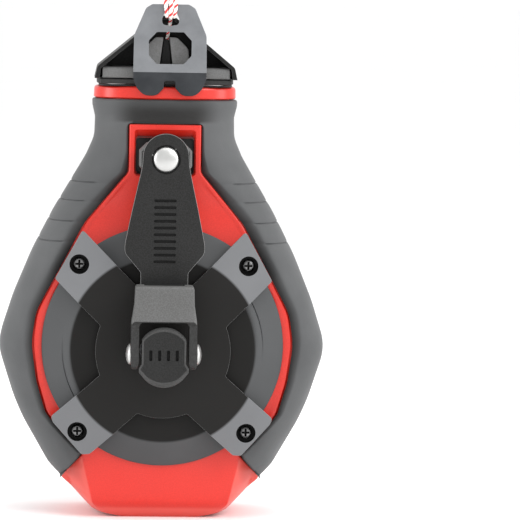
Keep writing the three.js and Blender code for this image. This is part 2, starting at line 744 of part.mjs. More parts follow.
function crankArm() {
  const tip = [];
  const steps = 10;
  for (let k = 0; k <= steps; k += 1) {
    const angle = (1 - k / steps) * (Math.PI / 2);
    tip.push([ARM_TIP_R * Math.cos(angle), ARM_TIP_Z + ARM_TIP_R * Math.sin(angle)]);
  }
  const sides = rounded([[10.2, 74], [13.4, 59.7], [16.6, 39.6, 5], [10.2, 32, 1], [9.9, 20], [0, 20]]);
  const outline = mirrored([...tip, ...sides]);
  const plate = common(prismY(outline, -60, -30), prismX(ARM_SIDE, -30, 30));
  const tang = block(-8, 8, -46.5, -42.3, YOKE.bridge0 + 4.8, YOKE.bridge1 + 3);
  const hole = disc(3.3, -60, -30, 20).translate(0, 0, CRANK_R);
  const [low, high] = [ARM_FRONT + 1.2, ARM_FRONT - 1];
  const sink = turned([[0, low], [5.5, low], [6.4, high], [0, high]], 24);
  return cut(join(plate, tang), hole, sink.translate(0, 0, CRANK_R));
}

// the knob: an oblong paddle with cut corners and a waist, turning on a rivet
function knob() {
  const front = ARM_BACK + GAP;
  const [corner, waist] = [3, 1.2];
  const layer = (inset, y0, y1) => {
    const [w, h] = [KNOB_HALF_W - inset, KNOB_HALF_H - inset];
    return prismY(mirrored([[w - corner, h], [w, h - corner], [w, corner - h], [w - corner, -h]]), y0, y1);
  };
  const middle = (front + KNOB_BACK) / 2;
  const flanges = join(layer(0, front, middle - 2), layer(0, middle + 2, KNOB_BACK));
  return cut(join(flanges, layer(waist, middle - 3, middle + 3)), disc(3.4, front - 1, KNOB_BACK + 1, 20));
}

// ---------------------------------------------------------------- nose cap and hook

const CAP_TOP = 210.4;
const CAP_HALF = [[0, CAP_TOP], [4.5, CAP_TOP, 2], [28.6, 190.5, 2], [29.7, CAP_BOTTOM, 0], [0, CAP_BOTTOM]];
const CAP_RIM = 1.8;
const CAP_FRONT = -19.8;
const CAP_REAR = 17.6;

function noseCap() {
  const hull = prismY(mirrored(rounded(CAP_HALF)), CAP_FRONT, CAP_REAR);
  const roof = CAP_TOP - CAP_RIM;
  const recessHalf = [[0, roof], [3.7, roof], [26.9, 189.6], [27.4, 184.4], [0, 184.4]];
  const ledge = [[CAP_FRONT - 1, 184], [CAP_FRONT, 184.4], [-14, 189.2], [-3, 189.2]];
  const side = [...ledge, [-3, CAP_TOP], [CAP_FRONT - 1, CAP_TOP]];
  const recess = common(prismY(mirrored(recessHalf), CAP_FRONT - 1, -3), prismX(side, -30, 30));
  const chalkWell = block(-24, 24, 0, CAP_REAR - CAP_RIM, CAP_BOTTOM - 1, 187);
  const throat = disc(3, -10, 10, 16).rotateX(Math.PI / 2).translate(0, LINE_Y, 185);
  const roofSlot = block(-2.2, HOOK_X + 2.2, CAP_FRONT - 1, LINE_Y + 2.4, roof - 2, CAP_TOP + 1);
  const feltWell = block(-9, 9, LINE_Y - 4, LINE_Y + 4, CAP_BOTTOM - 1, 185);
  const knuckle = join(
    pinX(2.6, -6.6, 6.6, 12).translate(0, ...CAP_HINGE),
    block(-6.6, 6.6, CAP_REAR - 1, CAP_HINGE[0], CAP_HINGE[1], CAP_HINGE[1] + 3),
  );
  const web = prismY([[-2.2, 188], [2.2, 188], [0.9, 200.4], [-0.9, 200.4]], -13.4, -12.6);
  const bore = pinX(1.8, -10, 10, 12).translate(0, ...CAP_HINGE);
  return cut(join(cut(hull, recess, chalkWell, throat, roofSlot, feltWell), knuckle, web), bore);
}

// two slanted ribs that lead the line to the middle of the nose
function lineGuide(side) {
  const points = [[2.6, 190], [6.2, 190], [3.2, 200.6], [1.2, 200.6]].map(([x, z]) => [side * x, z]);
  return prismY(side > 0 ? points : points.reverse(), -15, -3.4);
}

// a felt pad in front of the line (side -1) or behind it (side 1)
function wiperFelt(side) {
  const [near, far] = [1.2, 3.7];
  const [y0, y1] = side > 0 ? [near, far] : [-far, -near];
  return block(-8.6, 8.6, LINE_Y + y0, LINE_Y + y1, CAP_BOTTOM + 0.2, 184.7);
}

const HOOK_FRONT = -24;
const HOOK_T = 1.9;
const HOOK_HALF = [[0, 215.4], [7.6, 215.4, 1], [10.1, 213.6, 1.5], [15, 202.5, 3], [15.2, 187.2], [0, 187.2]];

function hookPlate() {
  const plate = prismY(mirrored(rounded(HOOK_HALF)), HOOK_FRONT, HOOK_FRONT + HOOK_T);
  const windowHalf = [[0, 203.9], [5.6, 203.9], [8.9, 200.4], [8.9, 194.1], [5.6, 190.6], [0, 190.6]];
  const eye = mirrored(rounded([[0, 212.8], [2.2, 212.8, 1], [3.9, 208.8, 1], [2.6, 206.8, 1], [0, 206.6]]));
  const [tipZ, inner, outer] = [177.4, 2.4, 15.2];
  const lobe = (side) =>
    rounded([[side * inner, 190], [side * inner, tipZ, 3], [side * outer, tipZ, 6], [side * outer, 190]]);
  const back = HOOK_FRONT + HOOK_T;
  const chinSide = [[HOOK_FRONT, 187.9], [HOOK_FRONT, 187], [-23.2, 177], [-21.3, 177], [back, 187.9]];
  const lobes = [-1, 1].map((side) => {
    const points = lobe(side);
    return prismY(side > 0 ? points : points.reverse(), -30, -15);
  });
  const web = block(-3, 3, -30, -15, 184, 190);
  const chin = common(prismX(chinSide, -16, 16), join(web, ...lobes));
  const tools = [mirrored(windowHalf), eye].map((points) => prismY(points, -30, -15));
  return cut(join(plate, chin), ...tools);
}

// the end of the line, tied through the hook's eye and over its top edge
function lineLoop() {
  const points = [];
  const steps = 14;
  for (let k = 0; k < steps; k += 1) {
    const angle = (2 * Math.PI * k) / steps;
    const y = HOOK_FRONT + HOOK_T / 2 + 2.5 * Math.cos(angle);
    points.push(new THREE.Vector3(0, y, 214 + 3.6 * Math.sin(angle)));
  }
  const path = new THREE.CatmullRomCurve3(points, true);
  return cleaned(new THREE.ExtrudeGeometry(roundSection(1.1, 8), { steps: 20, extrudePath: path }));
}

// ---------------------------------------------------------------- assembly

const reel = new THREE.Group();
const dial = new THREE.Group();
dial.position.set(0, 0, DIAL_Z);
reel.add(dial);

function add(name, shape, material, parent = reel) {
  const mesh = new THREE.Mesh(geometryOf(shape), material);
  mesh.name = name;
  parent.add(mesh);
  return mesh;
}

const shell = caseShell();
const skin = gripSkin();
add("front_shell", frontShell(shell), RED);
add("rear_shell", rearShell(shell), RED);
add("front_grip", common(skin, FRONT_HALF), RUBBER);
add("rear_grip", common(skin, REAR_HALF), RUBBER);
add("mouth_collar", mouthCollar(), RED);
add("mouth_gasket", mouthGasket(), BLACK_PLASTIC);

CASE_SCREWS.forEach(([x, z], i) => {
  const mesh = add(`case_screw_${i + 1}`, screw(2.7, 2, 1.5, 24), STEEL);
  mesh.rotation.z = Math.PI;
  mesh.position.set(x, depthAt(z) - GRIP_SKIN - GAP - 3.6, z);
});

add("gear_housing", gearHousing(), DARK_PLASTIC, dial);
add("gear_cover", gearCover(), GREY_PLASTIC, dial);
COVER_SCREWS.forEach(([x, z], i) => {
  add(`cover_screw_${i + 1}`, screw(2.65, 1.6, 1.5, 11), STEEL, dial).position.set(x, -29.3, z);
});

add("ring_gear", ringGear(), ACETAL, dial);
add("gear_backplate", gearBackplate(), STEEL, dial);
add("sun_gear", spurGear(SUN_TEETH, AXLE_R + 0.4, Math.PI / 2), ACETAL, dial);
add("planet_carrier", planetCarrier(), STEEL, dial);
for (let i = 0; i < PLANETS; i += 1) {
  const [x, z] = planetPlace(i);
  const gapFacingSun = planetAngle(i) + Math.PI + Math.PI / PLANET_TEETH;
  const gear = spurGear(PLANET_TEETH, PLANET_PIN_R + 0.4, gapFacingSun);
  const pin = disc(PLANET_PIN_R, CARRIER_FRONT, GEAR_BACK + 0.2, 16);
  add(`planet_gear_${i + 1}`, gear, ACETAL, dial).position.set(x, 0, z);
  add(`planet_pin_${i + 1}`, pin, STEEL, dial).position.set(x, 0, z);
}

add("spool_drum", spoolDrum(), BLACK_PLASTIC, dial);
add("line_winding", lineWinding(), LINE, dial);
const axle = add("spool_axle", rivet(6.4, 1.8, AXLE_R, 50.2).rotateX(Math.PI), STEEL, dial);
axle.position.y = -FACE_Y + GAP;
add("line_inside", lineInside(), LINE);

add("crank_hub", crankHub(), DARK_PLASTIC, dial);
add("push_button", pushButton(), DARK_PLASTIC, dial);
add("clutch_pin", clutchPin(), STEEL, dial);
add("button_spring", buttonSpring(), STEEL, dial);
add("yoke", yoke(), GREY_PLASTIC, dial);
add("crank_arm", crankArm(), DARK_PLASTIC, dial);
[-1, 1].forEach((side) => {
  const name = side < 0 ? "hinge_rivet_left" : "hinge_rivet_right";
  const mesh = add(name, rivet(4.4, 1.9, 2.5, 4), BRIGHT_STEEL, dial);
  mesh.rotation.z = (side * Math.PI) / 2;
  mesh.position.set(side * (YOKE.outer + 0.1), HINGE_Y, 0);
});
add("knob", knob(), BLACK_PLASTIC, dial).position.set(0, 0, CRANK_R);
const knobRivet = add("knob_rivet", rivet(5.3, 2.1, 3, 15), BRIGHT_STEEL, dial);
knobRivet.position.set(0, ARM_FRONT + 1.1, CRANK_R);

add("nose_cap", noseCap(), BLACK_PLASTIC);
add("cap_hinge_pin", pinX(1.5, -14.6, 14.6, 12).translate(0, ...CAP_HINGE), STEEL);
add("line_guide_left", lineGuide(-1), GREY_PLASTIC);
add("line_guide_right", lineGuide(1), GREY_PLASTIC);
add("wiper_felt_front", wiperFelt(-1), FELT);
add("wiper_felt_rear", wiperFelt(1), FELT);
add("hook", hookPlate(), STEEL).position.x = HOOK_X;
add("line_run", lineRun(), LINE);
add("line_loop", lineLoop(), LINE).position.x = HOOK_X;

export default reel;
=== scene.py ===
"""Chalk line reel: how it looks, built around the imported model.

A pear-shaped red case in two halves with grey rubber grips, a dark dial with an X-shaped
cover, a folding crank, a hinged nose cap, a steel hook and a twisted line. Lengths here
are in millimetres until a piece is finished, when its mesh is scaled to metres.
"""

import bisect
import math

import bmesh
import bpy
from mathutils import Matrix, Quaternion, Vector


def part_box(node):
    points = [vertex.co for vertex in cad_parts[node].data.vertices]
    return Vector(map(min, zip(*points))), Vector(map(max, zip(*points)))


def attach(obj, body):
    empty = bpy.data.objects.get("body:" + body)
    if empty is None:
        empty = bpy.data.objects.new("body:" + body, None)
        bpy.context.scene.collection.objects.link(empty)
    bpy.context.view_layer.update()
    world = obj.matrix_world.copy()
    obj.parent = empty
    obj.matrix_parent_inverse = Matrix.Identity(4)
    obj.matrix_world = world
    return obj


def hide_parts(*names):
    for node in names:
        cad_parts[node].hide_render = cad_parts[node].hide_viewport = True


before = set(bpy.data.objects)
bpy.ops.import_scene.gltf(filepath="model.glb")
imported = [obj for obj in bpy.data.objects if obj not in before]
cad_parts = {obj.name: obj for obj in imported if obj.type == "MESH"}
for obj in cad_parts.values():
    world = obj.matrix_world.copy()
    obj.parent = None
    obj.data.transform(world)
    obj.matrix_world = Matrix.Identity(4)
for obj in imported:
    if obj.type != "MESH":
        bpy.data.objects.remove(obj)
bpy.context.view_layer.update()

# ---------------------------------------------------------------- sizes

MM = 0.001


def node_box(node):
    """(lowest, highest) corner of a CAD node, in millimetres."""
    low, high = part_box(node)
    return low / MM, high / MM


SEAM = 0.15  # half the gap at the parting between the front and rear halves
GRIP_T = 2.3  # thickness of the rubber grips
FACE_DROP = 2.8  # how far the red faces lie below the grips
FACE_GAP = 0.45  # gap between the red faces and the grips
WALL = 2.4  # thickness of the red case

HUB_LOW, HUB_HIGH = node_box("crank_hub")
DIAL_Z = (HUB_LOW.z + HUB_HIGH.z) / 2
DIAL = (0, 0, DIAL_Z)
GRIP_LOW, GRIP_HIGH = node_box("front_grip")
NECK_TOP = GRIP_HIGH.z
BODY_DEPTH = -GRIP_LOW.y
NECK_DEPTH = BODY_DEPTH - 5.6

# right side of the case from foot to neck: half width, height, corner radius
SIDE = [
    (20, 0),
    (28, 1.8, 6),
    (47.4, 22.5, 10),
    (58.3, 41.5, 60),
    (62.2, 50.5, 60),
    (69.2, 72.5, 20),
    (63, 92, 50),
    (55.2, 111, 80),
    (46.4, 128.5, 60),
    (32.9, 151.6, 12),
    (29.5, 159.5, 12),
    (29.3, 168, 6),
    (30.5, 173, 4),
    (30.5, 176.5),
]

# half depth over the grips: height, half depth, corner radius
DEPTH = [
    (0, 19.4),
    (6.5, 25.6, 5),
    (12, BODY_DEPTH, 8),
    (110, BODY_DEPTH, 40),
    (135.5, NECK_DEPTH, 40),
    (160, NECK_DEPTH - 0.5, 8),
    (168, NECK_DEPTH - 0.9, 5),
    (173.5, NECK_DEPTH, 5),
    (176.5, NECK_DEPTH),
]

# edge of the red faces against the grips, from the pocket's top to the foot
FACE = [
    (13.4, 165.7),
    (15.4, 165.7, 1.8),
    (15.4, 145.4, 3),
    (33.3, 124, 20),
    (52.8, 87, 20),
    (54.6, 74, 30),
    (52.4, 58, 20),
    (48.4, 44.4, 6),
    (33.2, 27.3, 0.8),
    (46.8, 12),
]
FACE_TOP = FACE[0][1]

# the knob's pocket in the front face: half width, heights and depth from the seam
POCKET_HALF = 12.4
POCKET_LOW = 144.3
POCKET_HIGH = 162.8
POCKET_FLOOR = 11

# the line on the base where its front meets its bevelled sides: x at the foot, x per z
CREASE_X, CREASE_SLOPE = 26.7, 0.24

# width of the grips' inner bevel against height
GRIP_BEVEL = [
    (15, 0.7),
    (30, 1.4),
    (50, 2.5),
    (72, 3.3),
    (90, 4.0),
    (118, 5.0),
    (130, 5.4),
    (140, 4.2),
    (148, 2.2),
    (153, 1.1),
    (164, 0.8),
    (FACE_TOP, 0.1),
]

GRIP_GROOVES = [116.3, 124.6, 133, 140.7]  # heights of the finger grooves


# ---------------------------------------------------------------- outlines


SQUARE = ((-1, -1), (1, -1), (1, 1), (-1, 1))


def rounded(corners, closed=False, step=7):
    """Corners as (a, b) or (a, b, radius); each radius becomes an arc of points."""
    count = len(corners)
    points = []
    for i, corner in enumerate(corners):
        here = Vector(corner[:2])
        radius = corner[2] if len(corner) > 2 else 0
        at_end = not closed and i in (0, count - 1)
        if at_end or not radius:
            points.append(tuple(here))
            continue
        back = Vector(corners[i - 1][:2]) - here
        ahead = Vector(corners[(i + 1) % count][:2]) - here
        half = back.angle(ahead) / 2
        sweep = math.pi - 2 * half
        if sweep < 0.02:
            points.append(tuple(here))
            continue
        reach = 0.48 * min(back.length, ahead.length)
        tangent = min(radius / math.tan(half), reach)
        back.normalize()
        ahead.normalize()
        centre = here + (back + ahead).normalized() * (tangent / math.cos(half))
        first = here + back * tangent - centre
        last = here + ahead * tangent - centre
        steps = max(2, math.ceil(math.degrees(sweep) / step))
        for k in range(steps + 1):
            t = k / steps
            a = math.sin((1 - t) * sweep) / math.sin(sweep)
            b = math.sin(t * sweep) / math.sin(sweep)
            points.append(tuple(centre + first * a + last * b))
    return points


def rounded_box(a0, a1, b0, b1, radius, step=7):
    corners = [(a0, b0, radius), (a1, b0, radius), (a1, b1, radius), (a0, b1, radius)]
    return rounded(corners, closed=True, step=step)


def mirrored(half):
    """The right half of an outline, closed with its mirror image."""
    return list(half) + [(-a, b) for a, b in reversed(half) if a > 1e-6]


def mirrored_corners(half):
    """Corners of an outline's right half, closed with their mirror images."""
    return list(half) + [(-a, *rest) for a, *rest in reversed(half) if a > 1e-6]


def arc(radius, start, end, step=3, centre=(0, 0)):
    """Points on a circle between two angles in degrees."""
    steps = max(2, math.ceil(abs(end - start) / step))
    angles = [math.radians(start + (end - start) * k / steps) for k in range(steps + 1)]
    return [(centre[0] + radius * math.cos(a), centre[1] + radius * math.sin(a)) for a in angles]


def raised(outline, rise):
    return [(a, b + rise) for a, b in outline]


def offset(outline, grow):
    """A closed outline moved outwards (or inwards, if negative) along its corners' normals."""
    count = len(outline)
    area = sum(a[0] * b[1] - b[0] * a[1] for a, b in zip(outline, [*outline[1:], outline[0]]))
    sense = 1 if area > 0 else -1
    points = []
    for i, point in enumerate(outline):
        before, after = Vector(outline[i - 1]), Vector(outline[(i + 1) % count])
        here = Vector(point)
        along = (here - before).normalized() + (after - here).normalized()
        outwards = Vector((along.y, -along.x)).normalized() * sense
        points.append(tuple(here + outwards * grow))
    return points


def look_up(points, at):
    """Value at a place on a rising list of (place, value)."""
    places = [p[0] for p in points]
    i = min(max(bisect.bisect_left(places, at), 1), len(points) - 1)
    (a, va), (b, vb) = points[i - 1], points[i]
    share = min(max((at - a) / (b - a), 0), 1) if b > a else 1
    return va + (vb - va) * share


def smooth(low, high, value):
    """An eased step from 0 at low to 1 at high."""
    t = min(max((value - low) / (high - low), 0), 1)
    return t * t * (3 - 2 * t)


def levels(low, high, step, *extra):
    """Rising heights from low to high at about one step, with extra heights added."""
    count = max(1, round((high - low) / step))
    regular = [low + (high - low) * k / count for k in range(count + 1)]
    wanted = [z for z in extra if low < z < high]
    near = 0.3 * step
    kept = [z for z in regular if z in (low, high) or all(abs(z - w) > near for w in wanted)]
    return sorted(kept + wanted)


# ---------------------------------------------------------------- meshes


def skin(rings, closed=True, caps=True):
    """Rings of equally many points, joined by quads and closed at both ends."""
    mesh = bmesh.new()
    rows = [[mesh.verts.new(p) for p in ring] for ring in rings]
    count = len(rows[0])
    for low, high in zip(rows, rows[1:]):
        for k in range(count if closed else count - 1):
            n = (k + 1) % count
            mesh.faces.new((low[k], low[n], high[n], high[k]))
    if caps:
        mesh.faces.new(list(reversed(rows[0])))
        mesh.faces.new(rows[-1])
    return mesh


def with_mirror(mesh):
    """The mesh and its mirror image in x = 0, still to be welded where they meet."""
    copy = bmesh.ops.duplicate(mesh, geom=mesh.verts[:] + mesh.edges[:] + mesh.faces[:])
    for item in copy["geom"]:
        if isinstance(item, bmesh.types.BMVert):
            item.co.x = -item.co.x
    faces = [item for item in copy["geom"] if isinstance(item, bmesh.types.BMFace)]
    bmesh.ops.reverse_faces(mesh, faces=faces)
    return mesh


def along_axis(axis, a, b, t):
    """A point at a, b across an axis and t along it."""
    return {"X": (t, a, b), "Y": (a, t, b), "Z": (a, b, t)}[axis]


def turned(profile, segments=96, axis="Y", at=(0, 0, 0)):
    """A closed (radius, along) profile, turned about an axis through a point."""
    ends = [k for k, point in enumerate(profile) if point[0] == 0 and profile[k - 1][0] == 0]
    if ends:
        profile = [*profile[ends[0] :], *profile[: ends[0]]]
    rings = []
    for k in range(segments):
        angle = 2 * math.pi * k / segments
        c, s = math.cos(angle), math.sin(angle)
        ring = [along_axis(axis, r * c, r * s, t) for r, t in profile]
        rings.append([(at[0] + x, at[1] + y, at[2] + z) for x, y, z in ring])
    return skin([*rings, rings[0]], closed=not ends, caps=False)


def cylinder(radius, low, high, segments, axis="Y", at=(0, 0, 0)):
    return turned([(0, low), (radius, low), (radius, high), (0, high)], segments, axis, at)


def prism(outline, low, high, axis="Y"):
    """An outline pushed along an axis: x, z along Y; y, z along X; x, y along Z."""
    return skin([[along_axis(axis, a, b, t) for a, b in outline] for t in (low, high)])


def symmetric(half, low, high, step=7):
    """A prism along Y from the corners of its outline's right half."""
    return prism(mirrored(rounded(half, step=step)), low, high)


def block(x0, x1, y0, y1, z0, z1):
    return prism([(x0, z0), (x1, z0), (x1, z1), (x0, z1)], y0, y1)


def tube(points, radius, sides=10, closed=False):
    """A round tube along points that lie about in a plane x = constant."""
    count = len(points)
    across = Vector((1, 0, 0))
    rings = []
    for i, point in enumerate(points):
        before = points[i - 1] if closed or i else points[0]
        after = points[(i + 1) % count] if closed or i < count - 1 else points[-1]
        along = (Vector(after) - Vector(before)).normalized()
        out = across.cross(along).normalized()
        side = along.cross(out)
        ring = []
        for k in range(sides):
            angle = 2 * math.pi * k / sides
            ring.append(Vector(point) + (out * math.cos(angle) + side * math.sin(angle)) * radius)
        rings.append(ring)
    if closed:
        return skin([*rings, rings[0]], caps=False)
    return skin(rings)


def cleaned(mesh):
    bmesh.ops.remove_doubles(mesh, verts=mesh.verts[:], dist=1e-4)
    bmesh.ops.dissolve_degenerate(mesh, edges=mesh.edges[:], dist=1e-5)
    bmesh.ops.recalc_face_normals(mesh, faces=mesh.faces[:])
    return mesh


def placed(name, data):
    """A new object of some data, in the scene."""
    made = bpy.data.objects.new(name, data)
    bpy.context.scene.collection.objects.link(made)
    return made


def work(mesh):
    """A mesh as a working object, still in millimetres."""
    data = bpy.data.meshes.new("work")
    mesh.to_mesh(data)
    mesh.free()
    return placed("work", data)


def applied(made):
    """The object with its modifiers made part of its mesh."""
    bpy.context.view_layer.update()
    old = made.data
    shaped = made.evaluated_get(bpy.context.evaluated_depsgraph_get())
    made.data = bpy.data.meshes.new_from_object(shaped)
    made.modifiers.clear()
    bpy.data.meshes.remove(old)
    return made


def as_object(shape):
    return work(cleaned(shape)) if isinstance(shape, bmesh.types.BMesh) else shape


def combine(first, operation, others, solver="EXACT"):
    made = as_object(first)
    for other in others:
        tool = as_object(other)
        change = made.modifiers.new("combine", "BOOLEAN")
        change.object = tool
        change.operation = operation
        change.solver = solver
        applied(made)
        bpy.data.objects.remove(tool)
    return made


def cut(first, *tools):
    return combine(first, "DIFFERENCE", tools)


def bored(first, *tools):
    """Like cut, with the solver that copes with thin walls but needs sound meshes."""
    return combine(first, "DIFFERENCE", tools, "MANIFOLD")


def join(first, *others):
    return combine(first, "UNION", others)


def common(first, other):
    return combine(first, "INTERSECT", [other])


def softened(shape, width, segments=3, angle=30, edged=False):
    """The shape with its sharp edges rounded over, in the second material if edged; the callers give that
    second material a painted highlight.
    """
    made = as_object(shape)
    change = made.modifiers.new("edges", "BEVEL")
    change.width = width
    change.segments = segments
    change.limit_method = "ANGLE"
    change.angle_limit = math.radians(angle)
    change.use_clamp_overlap = True
    change.miter_outer = "MITER_ARC"
    if edged:
        while len(made.data.materials) < 2:
            made.data.materials.append(None)
        change.material = 1
    return applied(made)


def painted(shape, slot, chosen=None):
    """The shape with its faces, or the chosen ones, in one of its materials."""
    made = as_object(shape)
    for face in made.data.polygons:
        if chosen is None or chosen(face):
            face.material_index = slot
    return made


def shifted(made, x):
    for vertex in made.data.vertices:
        vertex.co.x += x
    return made


def gathered(*shapes):
    """Closed shapes that stay separate surfaces of one object."""
    mesh = bmesh.new()
    for shape in shapes:
        made = as_object(shape)
        mesh.from_mesh(made.data)
        bpy.data.objects.remove(made)
    return work(mesh)


def finished(shape, name, material, body, nodes, crease=32):
    """A working shape as a piece of the reel: scaled to metres, shaded and riding."""
    made = as_object(shape)
    for vertex in made.data.vertices:
        vertex.co *= MM
    made.name = name
    made.data.name = name
    materials = material if isinstance(material, list) else [material]
    slots = [min(face.material_index, len(materials) - 1) for face in made.data.polygons]
    made.data.materials.clear()
    for one in materials:
        made.data.materials.append(one)
    made.data.polygons.foreach_set("material_index", slots)
    made.data.shade_smooth()
    made.data.set_sharp_from_angle(angle=math.radians(crease))
    weigh = made.modifiers.new("normals", "WEIGHTED_NORMAL")
    weigh.keep_sharp = True
    weigh.weight = 60
    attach(made, body)
    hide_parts(*nodes)
    return made


# ---------------------------------------------------------------- materials


def linear(red, green, blue):
    """An sRGB colour, 0 to 255, as linear RGBA."""
    shares = [v / 255 for v in (red, green, blue)]
    return [s / 12.92 if s <= 0.04045 else ((s + 0.055) / 1.055) ** 2.4 for s in shares] + [1]


GRAIN_SHARE = 0.45  # how much of a moulding's two shades its fine grain mixes


class Paint:
    """A node material under construction, over one Principled shader."""

    def __init__(self, name, **fixed):
        self.material = bpy.data.materials.new(name)
        self.material.use_nodes = True
        self.tree = self.material.node_tree
        self.shader = self.tree.nodes["Principled BSDF"]
        for socket, value in fixed.items():
            self.shader.inputs[socket.replace("_", " ")].default_value = value
        self.place = self.node("ShaderNodeTexCoord").outputs["Object"]

    def node(self, kind, links=None, **settings):
        made = self.tree.nodes.new(kind)
        for key, value in settings.items():
            setattr(made, key, value)
        for socket, value in (links or {}).items():
            self.put(made.inputs[socket], value)
        return made

    def put(self, socket, value):
        if isinstance(value, bpy.types.NodeSocket):
            self.tree.links.new(value, socket)
        else:
            socket.default_value = value

    def noise(self, scale, detail=3.0, roughness=0.55, stretch=(1, 1, 1)):
        scaled = self.node("ShaderNodeVectorMath", {0: self.place, 1: stretch}, operation="MULTIPLY")
        links = {"Vector": scaled.outputs[0], "Scale": scale, "Detail": detail, "Roughness": roughness}
        return self.node("ShaderNodeTexNoise", links).outputs["Fac"]

    def spread(self, value, low, high, start=0.0, end=1.0):
        """A value's range between start and end, spread from low to high."""
        links = {"Value": value, "From Min": start, "From Max": end, "To Min": low, "To Max": high}
        return self.node("ShaderNodeMapRange", links).outputs["Result"]

    def clouds(self, scale, detail, low=0, high=1):
        """Soft patches with values from low to high."""
        return self.spread(self.noise(scale, detail), low, high, 0.3, 0.7)

    def blend(self, share, first, second):
        made = self.node("ShaderNodeMix", data_type="RGBA")
        self.put(made.inputs["Factor"], share)
        self.put(made.inputs["A"], first)
        self.put(made.inputs["B"], second)
        return made.outputs["Result"]

    def maths(self, operation, *values):
        made = self.node("ShaderNodeMath", operation=operation)
        for socket, value in zip(made.inputs, values):
            self.put(socket, value)
        return made.outputs[0]

    def dial_radius(self):
        """Distance from the crank's axis, in millimetres."""
        flat = self.node("ShaderNodeVectorMath", {0: self.place, 1: (1, 0, 1)}, operation="MULTIPLY")
        middle = (0, 0, DIAL_Z * MM)
        away = self.node("ShaderNodeVectorMath", {0: flat.outputs[0], 1: middle}, operation="DISTANCE")
        return self.maths("DIVIDE", away.outputs["Value"], MM)

    def axis(self, name):
        """Place along X, Y or Z, in metres."""
        return self.node("ShaderNodeSeparateXYZ", {"Vector": self.place}).outputs[name]

    def colour(self, value):
        self.put(self.shader.inputs["Base Color"], value)

    def rough(self, value):
        self.put(self.shader.inputs["Roughness"], value)

    def bump(self, height, strength, distance):
        links = {"Height": height, "Strength": strength, "Distance": distance * MM}
        made = self.node("ShaderNodeBump", links)
        self.put(self.shader.inputs["Normal"], made.outputs["Normal"])


def moulded(name, dark, light, roughness, grain=900, grain_depth=0.03, **fixed):
    """Moulded plastic: spark-eroded grain, faint flow marks and handled patches."""
    paint = Paint(name, **fixed)
    patches = paint.noise(28, 4)
    fine = paint.noise(grain, 2)
    speck = paint.spread(paint.noise(1900, 1), -GRAIN_SHARE, GRAIN_SHARE, 0.35, 0.65)
    share = paint.maths("ADD", paint.spread(patches, 0.25, 0.75, 0.3, 0.7), speck)
    paint.colour(paint.blend(share, dark, light))
    paint.rough(paint.clouds(70, 3, roughness - 0.05, roughness + 0.06))
    paint.bump(fine, 0.35, grain_depth)
    return paint


def red_plastic():
    """Satin red, with painted shade (near black) inside the knob's pocket and a painted sheen, a paler red,
    on the base's bevelled sides and bottom band.
    """
    dark, light = linear(197, 33, 20), linear(207, 40, 26)
    paint = moulded("red_plastic", dark, light, 0.34, grain=1500, grain_depth=0.008)
    red = paint.shader.inputs["Base Color"].links[0].from_socket
    # painted shade: near black over the pocket's walls and floor in the front half, deepest towards the
    # floor
    inside = paint.spread(paint.axis("Y"), 0, 1, -19.5 * MM, -16.2 * MM)
    pocket_x = (paint.axis("X"), -POCKET_HALF - 1.2, POCKET_HALF + 1.2)
    pocket_z = (paint.axis("Z"), POCKET_LOW - 1.3, POCKET_HIGH + 1.4)
    for value, low, high in (pocket_x, pocket_z):
        for test, limit in (("GREATER_THAN", low), ("LESS_THAN", high)):
            inside = paint.maths("MULTIPLY", inside, paint.maths(test, value, limit * MM))
    front = paint.maths("LESS_THAN", paint.axis("Y"), -8 * MM)
    # painted sheen: a paler red standing in for light reflected off the base's bevelled sides and bottom
    # band
    height = paint.axis("Z")
    crease = paint.maths("MULTIPLY", height, CREASE_SLOPE)
    across = paint.maths("SUBTRACT", paint.maths("ABSOLUTE", paint.axis("X")), crease)
    sides = paint.spread(across, 0, 1, (CREASE_X - 0.2) * MM, (CREASE_X + 0.5) * MM)
    sides = paint.maths("MULTIPLY", sides, paint.maths("LESS_THAN", height, 30 * MM))
    painted_sheen = paint.maths("MAXIMUM", sides, paint.spread(height, 1, 0, 3.6 * MM, 5 * MM))
    paler = paint.blend(paint.maths("MULTIPLY", painted_sheen, 0.9), red, linear(214, 80, 70))
    paint.colour(paint.blend(paint.maths("MULTIPLY", inside, front), paler, linear(9, 7, 7)))
    return paint.material


def grip_rubber():
    """Soft matt rubber with a fine leathery grain and painted shade where it rolls into the gap and over
    the front neck band.
    """
    paint = Paint("grip_rubber", Specular_IOR_Level=0.35, Sheen_Weight=0.08)
    grain = paint.node("ShaderNodeTexVoronoi", {"Vector": paint.place, "Scale": 1500.0})
    fine = paint.noise(2400, 2)
    patches = paint.clouds(35, 4)
    skin_colour = paint.blend(patches, linear(69, 70, 71), linear(77, 78, 79))
    # painted shade: the grips' recess value mixes in a near-black
    shade = paint.node("ShaderNodeAttribute", attribute_name="recess").outputs["Fac"]
    paint.colour(paint.blend(shade, skin_colour, linear(24, 23, 22)))
    paint.rough(paint.clouds(90, 3, 0.6, 0.74))
    height = paint.maths("ADD", grain.outputs["Distance"], fine)
    paint.bump(height, 0.3, 0.05)
    return paint.material


def dial_plastic(name, inner, outer, edge):
    """Black plastic, painted a lighter grey outside a radius from the dial's middle: painted light standing
    in for the light its sloping outer part catches.
    """
    paint = Paint(name, Specular_IOR_Level=0.16)
    radius = paint.dial_radius()
    painted_light_share = paint.spread(radius, 0, 1, edge - 0.5, edge + 0.5)
    patches = paint.clouds(40, 4)
    deep = paint.blend(patches, linear(*[v - 3 for v in inner]), linear(*inner))
    pale = paint.blend(patches, linear(*[v - 5 for v in outer]), linear(*outer))
    paint.colour(paint.blend(painted_light_share, deep, pale))
    paint.rough(paint.clouds(80, 3, 0.46, 0.58))
    paint.bump(paint.noise(1300, 2), 0.35, 0.04)
    return paint.material


